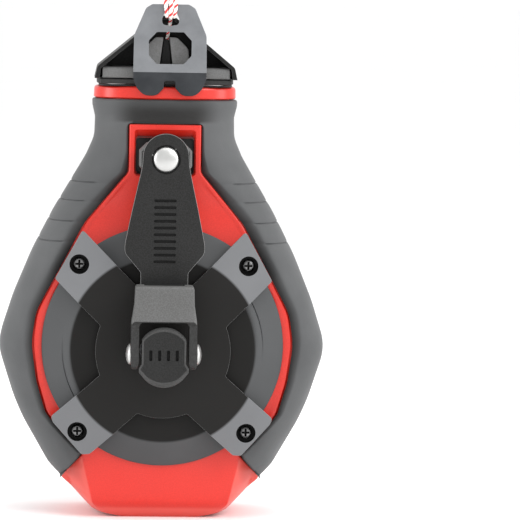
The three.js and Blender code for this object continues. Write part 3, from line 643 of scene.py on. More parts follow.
def satin_plastic(name, grey, roughness=0.48):
    """Fine-grained satin plastic of one grey level."""
    darker, lighter = linear(grey - 8, grey - 8, grey - 9), linear(grey + 6, grey + 6, grey + 6)
    return moulded(name, darker, lighter, roughness, grain=1300, Specular_IOR_Level=0.2).material


def black_rubber():
    return moulded("black_rubber", linear(24, 24, 24), linear(31, 31, 31), 0.75, grain=1500).material


def metal(name, tint, roughness, scratch, **fixed):
    """Metal with long fine scratches and cloudy wear."""
    paint = Paint(name, Metallic=1.0, **fixed)
    lines = paint.noise(260, 4, 0.6, (1, 1, scratch))
    cloud = paint.noise(60, 3)
    darker = [0.86 * v for v in tint[:3]] + [1]
    paint.colour(paint.blend(paint.spread(cloud, 0, 1, 0.3, 0.7), darker, tint))
    paint.rough(paint.spread(lines, roughness - 0.07, roughness + 0.09, 0.3, 0.7))
    paint.bump(lines, 0.12, 0.012)
    return paint.material


def hook_steel(name, grey):
    """Tumbled zinc-plated steel: soft, slightly grainy and not very bright."""
    paint = Paint(name, Metallic=0.75)
    darker, lighter = [linear(level, level + 2, level + 5) for level in (grey - 8, grey + 8)]
    paint.colour(paint.blend(paint.clouds(90, 5), darker, lighter))
    paint.rough(paint.clouds(300, 3, 0.44, 0.6))
    paint.bump(paint.noise(1700, 3), 0.25, 0.02)
    return paint.material


def gear_plastic():
    return moulded("gear_plastic", linear(222, 217, 205), linear(236, 232, 222), 0.4, grain=700).material


def felt():
    paint = Paint("felt", Sheen_Weight=0.4)
    fibres = paint.noise(1200, 6, 0.75, (1, 1, 0.35))
    paint.colour(paint.blend(fibres, linear(52, 48, 43), linear(104, 98, 90)))
    paint.rough(paint.spread(fibres, 0.85, 1.0))
    paint.bump(fibres, 0.9, 0.3)
    return paint.material


def cotton(name, dark, light):
    """Spun cotton: fine fibres along the strand, dusted with chalk."""
    paint = Paint(name, Sheen_Weight=0.25)
    fibres = paint.noise(2600, 4, 0.7, (1, 1, 0.3))
    dust = paint.spread(paint.noise(420, 3), 0, 1, 0.35, 0.7)
    paint.colour(paint.blend(dust, dark, light))
    paint.rough(paint.spread(fibres, 0.78, 0.95))
    paint.bump(fibres, 0.7, 0.09)
    return paint.material


def wound_line():
    """Layers of line side by side on the spool, red and white from its twist."""
    paint = Paint("wound_line", Sheen_Weight=0.2)
    links = {"Vector": paint.place, "Scale": 190.0, "Distortion": 0.6, "Detail": 2.0}
    turns = paint.node("ShaderNodeTexWave", links, bands_direction="Y").outputs["Fac"]
    twist = paint.spread(paint.noise(900, 2), 0, 1, 0.45, 0.55)
    paint.colour(paint.blend(twist, linear(222, 214, 210), linear(190, 44, 40)))
    paint.rough(paint.spread(turns, 0.8, 0.95))
    paint.bump(turns, 1.0, 0.5)
    return paint.material


RED = red_plastic()
RUBBER = grip_rubber()
# cover and housing: black, with painted light (a lighter grey) past the cover's crease and on the housing's
# flank
COVER_PLASTIC = dial_plastic("cover_plastic", (27, 26, 25), (108, 109, 111), 40.5)
# painted highlight on the cover's rounded edges, lighter again past the crease
COVER_HIGHLIGHT = dial_plastic("cover_highlight", (112, 112, 112), (136, 137, 139), 40.5)
HOUSING_PLASTIC = dial_plastic("housing_plastic", (22, 21, 20), (76, 77, 78), 38.6)
DARK = satin_plastic("dark_plastic", 31)
# painted highlight on the crank arm's bevelled edges
DARK_HIGHLIGHT = satin_plastic("dark_plastic_highlight", 122, 0.4)
# painted highlight on the push button's bevelled rim
BUTTON_HIGHLIGHT = satin_plastic("button_highlight", 60, 0.42)
# painted light: the fork's bridge and the knob's lit rim use this lighter grey
GREY = satin_plastic("grey_plastic", 90)
# painted highlight on the fork's rounded edges; also painted light on the whole of the line guides, which
# sit in the hood's shade
GREY_HIGHLIGHT = satin_plastic("grey_plastic_highlight", 128, 0.42)
# painted light: the nose hood's ledge, lighter where its top face catches light
LEDGE_LIT_GREY = satin_plastic("grey_plastic_ledge_lit", 100)
# darker grey for the fork's legs, the shaded copy of the bridge's grey, and for the hood's lip
LEG_GREY = satin_plastic("grey_plastic_legs", 46)
BLACK = satin_plastic("black_plastic", 24)
# painted shade: near black in the screw wells, the button's slots and the arm's grooves
RECESS_SHADE = satin_plastic("painted_recess_shade", 10, 0.7)
# painted highlight on the nose hood's rounded edges
CAP_HIGHLIGHT = satin_plastic("black_plastic_highlight", 96, 0.42)
GASKET = black_rubber()
HOOK_STEEL = hook_steel("hook_steel", 121)
# painted highlight on the hook plate's rounded edges
HOOK_HIGHLIGHT = hook_steel("hook_steel_highlight", 150)
# painted shade: the hook's downward-facing chin in darker steel
HOOK_SHADE = hook_steel("hook_steel_chin_shade", 52)
CHROME = metal("bright_steel", (0.56, 0.56, 0.55, 1), 0.4, 1.0)
STEEL = metal("zinc_steel", (0.62, 0.63, 0.65, 1), 0.36, 0.2)
SCREW_STEEL = metal("blackened_steel", (0.2, 0.2, 0.2, 1), 0.3, 1.0)
ACETAL = gear_plastic()
FELT = felt()
WHITE_COTTON = cotton("white_cotton", linear(226, 219, 213), linear(248, 245, 242))
RED_COTTON = cotton("red_cotton", linear(196, 30, 36), linear(224, 66, 62))
WOUND = wound_line()


# ---------------------------------------------------------------- the case's skin

SIDE_LINE = [(z, w) for w, z in rounded(SIDE, step=3)]
DEPTH_LINE = rounded(DEPTH, step=3)
FACE_LINE = sorted((z, x) for x, z in rounded(FACE, step=5))
FOOT_SIDE = 9  # half depth of the foot's flat sides


def groove(z, half, depth):
    """How deep the finger grooves are at a height, for one width of groove."""
    near = min(abs(z - g) for g in GRIP_GROOVES)
    return depth * (0.5 + 0.5 * math.cos(math.pi * near / half)) if near < half else 0


def half_width(z):
    return look_up(SIDE_LINE, z)


def half_depth(z):
    return look_up(DEPTH_LINE, z)


def edge_of_face(z):
    return look_up(FACE_LINE, z)


def corner_sizes(z):
    """How far the case's rounded corners reach along x and y at a height."""
    reach = 12 + 8 * smooth(118, 158, z)
    return reach, 17


def front_at(x, z, inset=0):
    """Half depth of the skin at a place in front view."""
    rx, ry = corner_sizes(z)
    flat = half_width(z) - inset - rx
    depth = half_depth(z) - inset
    if x <= flat:
        return depth
    share = min((x - flat) / rx, 1)
    return depth - ry + ry * math.sqrt(1 - share * share)


def section(z, start, inset, count):
    """(x, half depth) along the skin from x = start round the corner to the side."""
    rx, ry = corner_sizes(z)
    flat = half_width(z) - inset - rx
    depth = half_depth(z) - inset
    straight = max(0, flat - start)
    turn = math.asin(min(max((start - flat) / rx, 0), 1))
    bend = 1.15 * rx * (math.pi / 2 - turn)
    points = []
    for k in range(count + 1):
        along = (straight + bend) * k / count
        if along <= straight:
            points.append((start + along, depth))
        else:
            angle = turn + (along - straight) / bend * (math.pi / 2 - turn)
            points.append((flat + rx * math.sin(angle), depth - ry + ry * math.cos(angle)))
    return points


GRIP_INSIDE = 16  # points on a grip ring's inner side
BEVEL_STEPS = [0, 0.12, 0.25, 0.4, 0.55, 0.7, 0.82, 0.92, 1.02, 1.15]


def bevel_drop(share):
    """Drop of the grips' inner bevel, 1 at the gap and 0 at its outer edge."""
    soft = 0.15
    if share <= 1 - soft:
        return 1 - share
    return max(1 + soft - share, 0) ** 2 / (4 * soft)


def top_rounding(z, top, radius=0.8):
    rise = z - (top - radius)
    return radius - math.sqrt(max(radius**2 - rise**2, 0)) if rise > 0 else 0


def grip_ring(z, side, start, bevelled):
    """One level of a grip's right half: out along the skin and back inside it."""
    width = half_width(z)
    room = width - start
    shrink = top_rounding(z, NECK_TOP) + groove(z, 1.6, 0.15)
    slit = groove(z, 0.45, 0.6)
    bevel = min(look_up(GRIP_BEVEL, z), 0.42 * room) if bevelled else 0
    drop = min(2.3, 0.66 * bevel)
    thickness = min(GRIP_T, 0.55 * room)
    outer = []
    if bevelled:
        for share in BEVEL_STEPS:
            x = start + share * bevel
            outer.append((x, front_at(x, z, shrink) - drop * bevel_drop(share)))
    body = section(z, outer[-1][0] if outer else start, shrink, 26)
    outer += body[1:] if bevelled else body
    grooved = []
    for x, depth in outer:
        reach = slit * smooth(width - 11.5, width - 9.5, x)
        inward = smooth(width - 9, width, x)
        grooved.append((x - reach * inward, depth - reach * (1 - inward)))
    flank = half_depth(z) - corner_sizes(z)[1]
    x = grooved[-1][0]
    for share in (0.75, 0.5, 0.25):
        grooved.append((x, SEAM + 0.5 + share * (flank - SEAM - 0.5)))
    grooved += [(x, SEAM + 0.5), (x - 0.12, SEAM + 0.14), (x - 0.45, SEAM)]
    inner = section(z, start, thickness + shrink, GRIP_INSIDE - 2)
    inner = [*inner, (inner[-1][0], SEAM)]
    ring = grooved + inner[::-1]
    return [(x, side * depth, z) for x, depth in ring]


def grip_piece(name, side, node):
    """One rubber grip: a strip down each side of the red face, joined over the neck."""
    foot_end = next(z / 10 for z in range(100, 300) if edge_of_face(z / 10) < half_width(z / 10) - 0.7)
    detail = [g + d for g in GRIP_GROOVES for d in (-1.6, -0.9, -0.45, -0.22, 0, 0.22, 0.45, 0.9, 1.6)]
    corners = [FACE_TOP - d for d in (0.1, 0.25, 0.5, 0.9, 1.4, 2)]
    strip_levels = levels(foot_end, FACE_TOP, 1.7, *detail, *corners)
    strip = skin([grip_ring(z, side, edge_of_face(z), True) for z in strip_levels])
    rounding = [NECK_TOP - d for d in (0.05, 0.15, 0.3, 0.5, 0.8)]
    band_rings = []
    for z in levels(FACE_TOP, NECK_TOP, 1.2, *rounding):
        half = grip_ring(z, side, 0, False)
        outer = half[:-GRIP_INSIDE]
        inner = half[-GRIP_INSIDE:]
        left_outer = [(-x, y, z) for x, y, z in outer[:0:-1]]
        left_inner = [(-x, y, z) for x, y, z in inner[-2::-1]]
        band_rings.append(left_outer + outer + inner + left_inner)
    made = gathered(with_mirror(strip), skin(band_rings))
    # painted shade for the grip material: darkest where the bevel drops into the gap, and over the front
    # grip's neck band above the pocket
    shade = made.data.attributes.new("recess", "FLOAT", "POINT")
    for i, vertex in enumerate(made.data.vertices):
        x, depth, z = abs(vertex.co.x), vertex.co.y * side, vertex.co.z
        bevel = max(look_up(GRIP_BEVEL, z), 0.05)
        share = (x - edge_of_face(z)) / bevel
        if z < FACE_TOP and depth > 0.4 * half_depth(z):
            shade.data[i].value = 1 - smooth(-0.15, 1.05, share)
        elif side < 0 and z >= FACE_TOP and depth > 0:
            shade.data[i].value = 0.95 * (1 - 0.5 * smooth(170, NECK_TOP, z)) * (1 - smooth(12, 25, x))
    return finished(made, name, RUBBER, "root", [node], crease=38)


# ---------------------------------------------------------------- the red case

FOOT_TOP = 27.9
SCREW_HOLE = 2.85
DIAL_HOLE = 37.2
CASE_SCREWS = [(x * s, z) for x, z in ((14.5, 141), (50.4, 72), (30, 25)) for s in (-1, 1)]
COVER_SCREWS = [(x * s, DIAL_Z + z) for x, z in ((35.1, 35.5), (35.1, -34.3)) for s in (-1, 1)]


def crease_at(z):
    """Where the base's front turns back to its bevelled sides."""
    return min(CREASE_X + CREASE_SLOPE * z, half_width(z) - 4)


def face_depth(x, z, side):
    """Half depth of a red face: level, raised round the front pocket, creased at the foot."""
    depth = half_depth(z) - FACE_DROP
    if side < 0:
        depth += (NECK_DEPTH - 0.3 - depth) * smooth(120, 142.8, z)
    width = half_width(z)
    crease = crease_at(z)
    edge = edge_of_face(z) - FACE_GAP
    lip = 0.25 * smooth(edge - 3.2, edge - 1.5, x) * smooth(30, 40, z) * (1 - smooth(138, 145, z))
    bend = 0.2
    past = bend * math.log1p(math.exp(min((x - crease) / bend, 40)))
    share = min(past / max(width - crease, 4), 1)
    slope = share - 0.08 * math.sin(math.pi * share)
    return depth + lip - (1 - smooth(27, 34, z)) * slope * (depth - FOOT_SIDE)


def face_ring(z, side, hollow, to_seam):
    """One level of a red face's right half, from its middle to its edge and back."""
    half = min(edge_of_face(z) - FACE_GAP, half_width(z)) - top_rounding(0.6 - z, 0.6, 0.6)
    edge = 0.8
    turn, reach = min(crease_at(z), 0.92 * (half - edge)), half - edge
    front, bevel = 22, 10  # steps across the front and across the bevelled side
    places = [turn * k / front for k in range(front)]
    places += [turn + (reach - turn) * k / bevel for k in range(bevel + 1)]
    outer = [(x, face_depth(x, z, side)) for x in places]
    first = Vector(outer[-1])
    corner = Vector((half, face_depth(half, z, side)))
    last = corner - Vector((0, edge))
    for k in range(1, 6):
        t = k / 5
        outer.append(tuple(first.lerp(corner, t).lerp(corner.lerp(last, t), t)))
    back = SEAM if to_seam else last.y - 2.6
    outer += [(half, last.y + (back - last.y) * share) for share in (0.3, 0.6, 1)]
    if not hollow:
        inner = [(half * 0.5, back), (0, back)]
    else:
        inner = [(half - WALL, back)]
        for x, depth in reversed(outer[: len(places)]):
            inner.append((min(x, half - WALL), max(depth - WALL, back)))
    return [(x, side * depth, z) for x, depth in outer + inner]


def half_body(rings):
    """Right-half rings that start and end at x = 0, skinned with their mirror image."""
    return with_mirror(skin(rings, closed=False))


def under_ring(z, side, start):
    """The red case under a grip, at one level of its right half."""
    inset = GRIP_T + 0.9
    outer = section(z, start, inset, 18)
    inner = section(z, start, inset + WALL, 18)
    outer = [*outer, (outer[-1][0], SEAM)]
    inner = [(inner[-1][0], SEAM), *inner[::-1]]
    return [(x, side * depth, z) for x, depth in outer + inner]


def pocket_tool():
    """What the knob's pocket takes out: flared at the rim, drawn in towards its floor."""
    rings = []
    steps = [(26, 1.6, 1.6), (20.6, 0.7, 0.7), (19.8, 0.3, 0.2), (18.6, 0, -1.4), (17, -0.3, -3.2)]
    steps.append((POCKET_FLOOR, -0.5, -3.6))
    for depth, grow, grow_top in steps:
        half = POCKET_HALF + grow
        low, high = POCKET_LOW - grow, POCKET_HIGH + grow_top
        corners = [(-half, low, 1.5), (half, low, 1.5), (half, high, 1.3), (-half, high, 1.3)]
        rings.append([(x, -depth, z) for x, z in rounded(corners, closed=True, step=15)])
    return skin(rings)


def screw_tube(x, z, side, outer, inner, deep):
    """The sunk tube that a case screw sits in, behind the rear face."""
    depth = half_depth(z) - FACE_DROP - 0.4
    profile = [(inner, depth), (outer, depth), (outer, depth - deep), (0, depth - deep)]
    profile += [(0, depth - deep + 1.2), (inner, depth - deep + 1.2)]
    return turned([(r, side * d) for r, d in profile], 40, at=(x, 0, z))


def face_body(side):
    """The foot's floor, the foot above it and the red face, as three shapes."""
    fine = [0.1, 0.25, 0.6, 1.2, 1.8, 2.6]
    slab = half_body([face_ring(z, side, False, True) for z in levels(0, 4, 1.3, *fine)])
    foot = half_body([face_ring(z, side, True, True) for z in levels(4, FOOT_TOP, 1.3)])
    tips = [FACE_TOP - FACE_GAP - d for d in (0.25, 0.6, 1.1, 1.7)]
    rows = levels(FOOT_TOP, FACE_TOP - FACE_GAP, 1.5, *tips)
    return slab, foot, half_body([face_ring(z, side, True, False) for z in rows])


def rear_ribs():
    """Raised ring round the axle's rivet and a short rib each side of it."""
    base = half_depth(DIAL_Z) - FACE_DROP - 0.3
    top = base + 1.2
    profile = [(11, base), (11, top - 0.3), (11.4, top), (13.1, top), (13.5, top - 0.3), (13.5, base)]
    ribs = [turned(profile, 96, at=DIAL)]
    for s in (-1, 1):
        outline = raised(rounded_box(17 * s, 38 * s, -1.1, 1.1, 1), DIAL_Z)
        ribs.append(softened(prism(outline, base, top), 0.35, 2))
    return ribs


def case_half(name, side, node):
    slab, foot, face = face_body(side)
    if side < 0:
        dial = cylinder(DIAL_HOLE, -40, 0, 120, at=DIAL)
        face = cut(face, dial, pocket_tool())
        pocket_walls = block(-14.5, 14.5, -17, -9, 143.6, 165.1)
        extras = [cut(pocket_walls, pocket_tool())]
    else:
        holes = [(z, cylinder(SCREW_HOLE, 5, 40, 32, at=(x, 0, z))) for x, z in CASE_SCREWS]
        foot = bored(foot, *[hole for z, hole in holes if z < FOOT_TOP])
        face = bored(face, *[hole for z, hole in holes if z > FOOT_TOP])
        extras = [screw_tube(x, z, side, 3.9, SCREW_HOLE, 5) for x, z in CASE_SCREWS] + rear_ribs()
    strips = skin([under_ring(z, side, edge_of_face(z) - 2.4) for z in levels(28, FACE_TOP, 3)])
    band = half_body([under_ring(z, side, 0) for z in levels(FACE_TOP - 0.9, NECK_TOP + 0.5, 3)])
    made = gathered(slab, foot, face, with_mirror(strips), band, *extras)
    return finished(made, name, RED, "root", [node])


case_half("case_front", -1, "front_shell")
case_half("case_rear", 1, "rear_shell")
grip_piece("grip_front", -1, "front_grip")
grip_piece("grip_rear", 1, "rear_grip")


# ---------------------------------------------------------------- dial: housing, cover, screws

FACE_Y = -(BODY_DEPTH - FACE_DROP)
HOUSING_R = 50.4
HOUSING_BORE = 37.6
HOUSING_TOP_R = 38.4
HOUSING_TOP = node_box("gear_housing")[0].y
SHAFT_HOLE = 10.5
COVER_FRONT = node_box("gear_cover")[0].y
COVER_T = 2
CREASE_R = 40.5
LEG_SLOPE = 0.26
LEG_HALF = 11.1
HUB_R = 28
SLIT_R = 41.4
RIM_LIFT = 1.2  # how far the housing's rim sits above the dial's middle


def crescent(angle):
    """Height of the low step on the housing's flank, a long tapering crescent each side."""
    tip, full, end = 164.5, 208, 216
    turn = math.degrees(angle) % 180
    turn = turn if turn > 90 else turn + 180
    return 0.95 * smooth(tip, full, turn) if tip < turn < end else 0


def gear_housing():
    base = FACE_Y - 0.3

    def flank(r):
        return base - 1 + (HOUSING_TOP - base + 1) * (HOUSING_R - r) / (HOUSING_R - HOUSING_TOP_R)

    bend = 1.1
    profile = [(HOUSING_BORE, base), (HOUSING_R - 0.2, base), (HOUSING_R, base - 0.2)]
    profile += [(HOUSING_R, base - 0.7), (HOUSING_R - 0.12, base - 0.92)]
    profile += [(HOUSING_R - 0.4, flank(HOUSING_R - 0.4))]
    profile += [(r, flank(r)) for r in (49, 47, 45, 43.2, SLIT_R + 0.55, SLIT_R + 0.28)]
    profile += [(r, flank(r)) for r in (SLIT_R, SLIT_R - 0.3, 40.5, 39.9)]
    for k in range(7):
        t = k / 6
        first = Vector((HOUSING_TOP_R + bend, flank(HOUSING_TOP_R + bend)))
        last = Vector((HOUSING_TOP_R - bend, HOUSING_TOP))
        corner = Vector((HOUSING_TOP_R, HOUSING_TOP))
        profile.append(tuple(first.lerp(corner, t).lerp(corner.lerp(last, t), t)))
    profile += [(33, HOUSING_TOP), (26, HOUSING_TOP), (SHAFT_HOLE + 0.5, HOUSING_TOP)]
    back = HOUSING_TOP + 1.8
    profile += [(SHAFT_HOLE, HOUSING_TOP + 0.5), (SHAFT_HOLE, back), (HOUSING_BORE, back)]
    rings = []
    segments = 240
    for k in range(segments):
        angle = 2 * math.pi * k / segments
        ring = []
        for r, y in profile:
            on_step = HOUSING_TOP_R - 0.4 < r <= SLIT_R + 0.01 and y < base - 1.2
            rise = crescent(angle) * smooth(HOUSING_TOP_R - 0.4, SLIT_R - 1.2, r) if on_step else 0
            dent = 0.5 * crescent(angle) if abs(r - SLIT_R - 0.28) < 0.01 else 0
            lift = RIM_LIFT * min(max((r - HOUSING_TOP_R) / (HOUSING_R - HOUSING_TOP_R), 0), 1)
            ring.append((r * math.cos(angle), y - rise + dent, DIAL_Z + lift + r * math.sin(angle)))
        rings.append(ring)
    made = skin([*rings, rings[0]], caps=False)
    finished(made, "housing", HOUSING_PLASTIC, "root", ["gear_housing"], crease=28)


def cover_outline():
    """Hub and four legs in front view: upper legs end on a slant, lower ones are clipped."""
    lower = [(52, -9.8, 1.5), (54.6, -7.6, 1.5), (53.6, 10.3, 1.5), (52.6, 12.6, 1.5)]
    upper = [(52.6, -LEG_HALF, 1), (59, LEG_HALF, 1)]
    root = math.sqrt(HUB_R**2 - LEG_HALF**2)
    leg_turn = math.degrees(math.asin(LEG_HALF / HUB_R)) + 3
    half = arc(HUB_R, -90, -45 - leg_turn)
    for turn, ends, next_leg in ((-45, lower, 45), (45, upper, 90 + leg_turn)):
        c, s = math.cos(math.radians(turn)), math.sin(math.radians(turn))
        leg = [(root, -LEG_HALF, 1.2), *ends, (root, LEG_HALF, 1.2)]
        half += [(u * c - v * s, u * s + v * c, radius) for u, v, radius in leg]
        half += arc(HUB_R, turn + leg_turn, next_leg - leg_turn)
    return raised(rounded(mirrored_corners(half), closed=True), DIAL_Z)


def gear_cover():
    reach = 62
    drop = LEG_SLOPE * (reach - CREASE_R)
    front = [(SHAFT_HOLE - 1, COVER_FRONT), (CREASE_R - 0.8, COVER_FRONT)]
    front += [(CREASE_R, COVER_FRONT + 0.1), (CREASE_R + 0.8, COVER_FRONT + 0.3)]
    front += [(reach, COVER_FRONT + drop)]
    back = [(reach, COVER_FRONT + drop + COVER_T), (CREASE_R - 0.5, COVER_FRONT + COVER_T)]
    layer = turned([*front, *back, (SHAFT_HOLE - 1, COVER_FRONT + COVER_T)], 160, at=DIAL)
    cover = common(layer, prism(cover_outline(), COVER_FRONT - 3, -20))
    sinks = [cylinder(4.1, COVER_FRONT - 2, -20, 48, at=(x, 0, z)) for x, z in COVER_SCREWS]
    # the rounded edges take the cover's painted highlight material
    cover = softened(cut(cover, *sinks), 0.75, 3, 32, edged=True)
    floor = COVER_FRONT + 6.2
    profile = [(4.25, floor + 2), (4.25, COVER_FRONT + 4.4), (3.95, COVER_FRONT + 3.4)]
    profile += [(3.95, floor), (0, floor), (0, floor + 2)]
    # painted shade: the screw wells near black
    wells = [painted(turned(profile, 48, at=(x, 0, z)), 2) for x, z in COVER_SCREWS]
    materials = [COVER_PLASTIC, COVER_HIGHLIGHT, RECESS_SHADE]
    finished(gathered(cover, *wells), "cover", materials, "root", ["gear_cover"])


def dome(radius, height, end, step):
    """A dome's profile from its crown out to an angle in degrees."""
    angles = [math.radians(a) for a in range(0, end, step)]
    return [(radius * math.sin(a), -height * math.cos(a)) for a in angles]


def cross_screw(name, place, side, head, length, node, material):
    """A pan-head cross-drive screw along Y, its head facing out on that side."""
    shank = 1.4
    profile = [*dome(head, 0.42 * head, 85, 12), (head, 0.12), (head - 0.15, 0.42)]
    profile += [(shank, 0.42), (shank, length), (0, length)]
    body = turned([(r, side * -y) for r, y in profile], 48, at=place)
    cross = []
    for wide, tall in ((0.64, 0.16), (0.16, 0.64)):
        a, b = wide * head, tall * head
        deep = 0.55 * head
        rings = []
        for share, depth in ((1.15, -0.6 * head), (1.0, -0.3 * head), (0.45, deep)):
            ring = [(u * a * share, v * b * share) for u, v in SQUARE]
            y = place[1] - side * depth
            rings.append([(place[0] + x, y, place[2] + z) for x, z in ring])
        cross.append(skin(rings))
    made = softened(cut(body, *cross), 0.07, 2, 40)
    finished(made, name, material, "root", [node], crease=40)


gear_housing()
gear_cover()
for kind, count, side, head, length, material in (
    ("cover_screw", 4, -1, 2.65, 9, SCREW_STEEL),
    ("case_screw", 6, 1, 2.7, 20, STEEL),
):
    for number in range(1, count + 1):
        node = f"{kind}_{number}"
        low, high = node_box(node)
        rim = low.y + 1.1 if side < 0 else high.y - 1.1
        place = ((low.x + high.x) / 2, rim, (low.z + high.z) / 2)
        cross_screw(f"{kind}_head_{number}", place, side, head, length, node, material)


# ---------------------------------------------------------------- crank

HINGE_Y = -46
HUB_BACK = COVER_FRONT - 0.5
HUB_RIM = -46.9
BUTTON_FRONT = node_box("push_button")[0].y
ARM_FRONT = -38.5
ARM_BACK = -34.5
ARM_GROOVE = 0.45  # depth of the arm's cross grooves
KNOB_LOW, KNOB_HIGH = node_box("knob")
KNOB_Z = (KNOB_LOW.z + KNOB_HIGH.z) / 2
KNOB = (0, 0, KNOB_Z)
CRANK_R = KNOB_Z - DIAL_Z
YOKE_LOW, YOKE_HIGH = node_box("yoke")
YOKE_HALF = YOKE_HIGH.x
BRIDGE_LOW, BRIDGE_HIGH = 13.5, YOKE_HIGH.z - DIAL_Z - 0.6


def dial_prism(outline, low, high):
    """A prism whose outline is measured from the dial's middle."""
    return prism(raised(outline, DIAL_Z), low, high)


def crank_hub():
    edge = button_outline()
    boss = softened(prism(offset(edge, -0.5), HUB_RIM, HUB_BACK), 0.4)
    shaft = cylinder(9, HUB_BACK - 1, -28.2, 64, at=DIAL)
    hub = cut(boss, prism(offset(edge, -1.6), -60, -43))
    finished(gathered(hub, shaft), "hub", BLACK, "crank", ["crank_hub"])


def button_outline():
    """Upright sides and an arched top, flaring below the fork's legs to a round chin."""
    top = arc(10.8, 90, 32.6, 4, (0, 0.8))
    chin = arc(10.9, -34, -90, 4, (0, -2.4))
    side = rounded([top[-1], (9.1, -4.2, 1.5), (10.6, -6.8, 1.4), chin[0]], step=10)
    return raised(mirrored([*top, *side[1:], *chin[1:]]), DIAL_Z)


def push_button():
    """A thumb button with a bevelled edge, a sunk face and four short upright grip slots."""
    front = BUTTON_FRONT

    def in_slots(face):
        x, y, z = face.center
        return y > front + 0.5 and abs(x) < 6 and abs(z - DIAL_Z) < 2.3

    edge = button_outline()
    face = [(0.967 * x, DIAL_Z + 0.1 + 0.88 * (z - DIAL_Z)) for x, z in edge]
    rings = [(edge, -49.6), (edge, front + 1.3), (offset(edge, -0.12), front + 1.0)]
    rings += [(offset(face, 0.25), front + 0.12), (face, front), (offset(face, -0.5), front + 0.3)]
    cap = skin([[(x, y, z) for x, z in outline] for outline, y in rings])
    # painted highlight: the bevelled rim in the lighter button grey
    cap = painted(cap, 1, lambda one: front + 0.02 < one.center.y < front + 1.2 and len(one.vertices) == 4)
    slots = []
    for x in (-5.4, -1.8, 1.8, 5.4):
        outline = rounded_box(x - 0.65, x + 0.65, -2.2, 2.2, 0.5)
        slots.append(dial_prism(outline, front - 2, front + 1.1))
    cap = softened(cut(cap, *slots), 0.12, 2, 35)
    # painted shade: the slot walls and floors near black
    cap = painted(cap, 2, in_slots)
    spring_room = cylinder(4.8, -47.8, -40, 48, at=DIAL)
    stem = cut(prism(offset(edge, -1.9), -49.7, -45.8), spring_room)
    materials = [DARK, BUTTON_HIGHLIGHT, RECESS_SHADE]
    finished(gathered(cap, stem), "button_cap", materials, "button", ["push_button"])


def yoke():
    """The fork: a bridge with a bevelled underside and two set-back legs on the rivets."""
    front, back = YOKE_LOW.y, -41
    leg_front = front + 1.4
    low, high = BRIDGE_LOW, BRIDGE_HIGH
    outer = YOKE_HALF
    side = [(HINGE_Y + 5.6, -4, 1.4), (HINGE_Y + 3.5, -6.2, 1.4), (HINGE_Y - 1.6, -6.2, 1.4)]
    side += [(leg_front, -4.6, 2), (leg_front, low - 1), (front, low + 0.6, 0.5)]
    side += [(front, high, 1.5), (back, high, 0.6)]
    half = [
        (0, high),
        (12.0, high, 1.2),
        (12.3, 20.5, 6),
        (outer, 12, 8),
        (outer, -3.2, 2),
        (13.2, -6.2, 1),
        (11.0, -6.2, 1),
        (10.3, -3, 1),
        (10.3, low - 1.6, 0.6),
        (9.4, low, 0.8),
        (0, low),
    ]
    blank = dial_prism(mirrored(rounded(half, step=8)), front, HINGE_Y + 6)
    profile = prism([(y, DIAL_Z + z) for y, z in rounded(side, closed=True)], -20, 20, "X")
    plan = [(outer, HINGE_Y + 7), (outer, front, 2.4), (-outer, front, 2.4), (-outer, HINGE_Y + 7)]
    plan = rounded(plan, closed=True)
    blank = common(common(blank, profile), prism(plan, DIAL_Z - 20, DIAL_Z + 40, "Z"))
    fork = softened(blank, 0.5, 3, 35, edged=True)
    slot = block(-8.3, 8.3, -46.8, -30, DIAL_Z + 19.5, DIAL_Z + high + 2)
    bores = cylinder(2.7, -20, 20, 40, "X", (0, HINGE_Y, DIAL_Z))
    fork = cut(fork, slot, bores)
    leg_top = DIAL_Z + low + 0.4
    # painted light and shade: the bridge in the lighter grey, the legs below it in the darker grey, the
    # bevels in the highlight grey
    fork = painted(fork, 2, lambda face: face.material_index == 0 and face.center.z < leg_top)
    finished(fork, "fork", [GREY, GREY_HIGHLIGHT, LEG_GREY], "handle", ["yoke"])


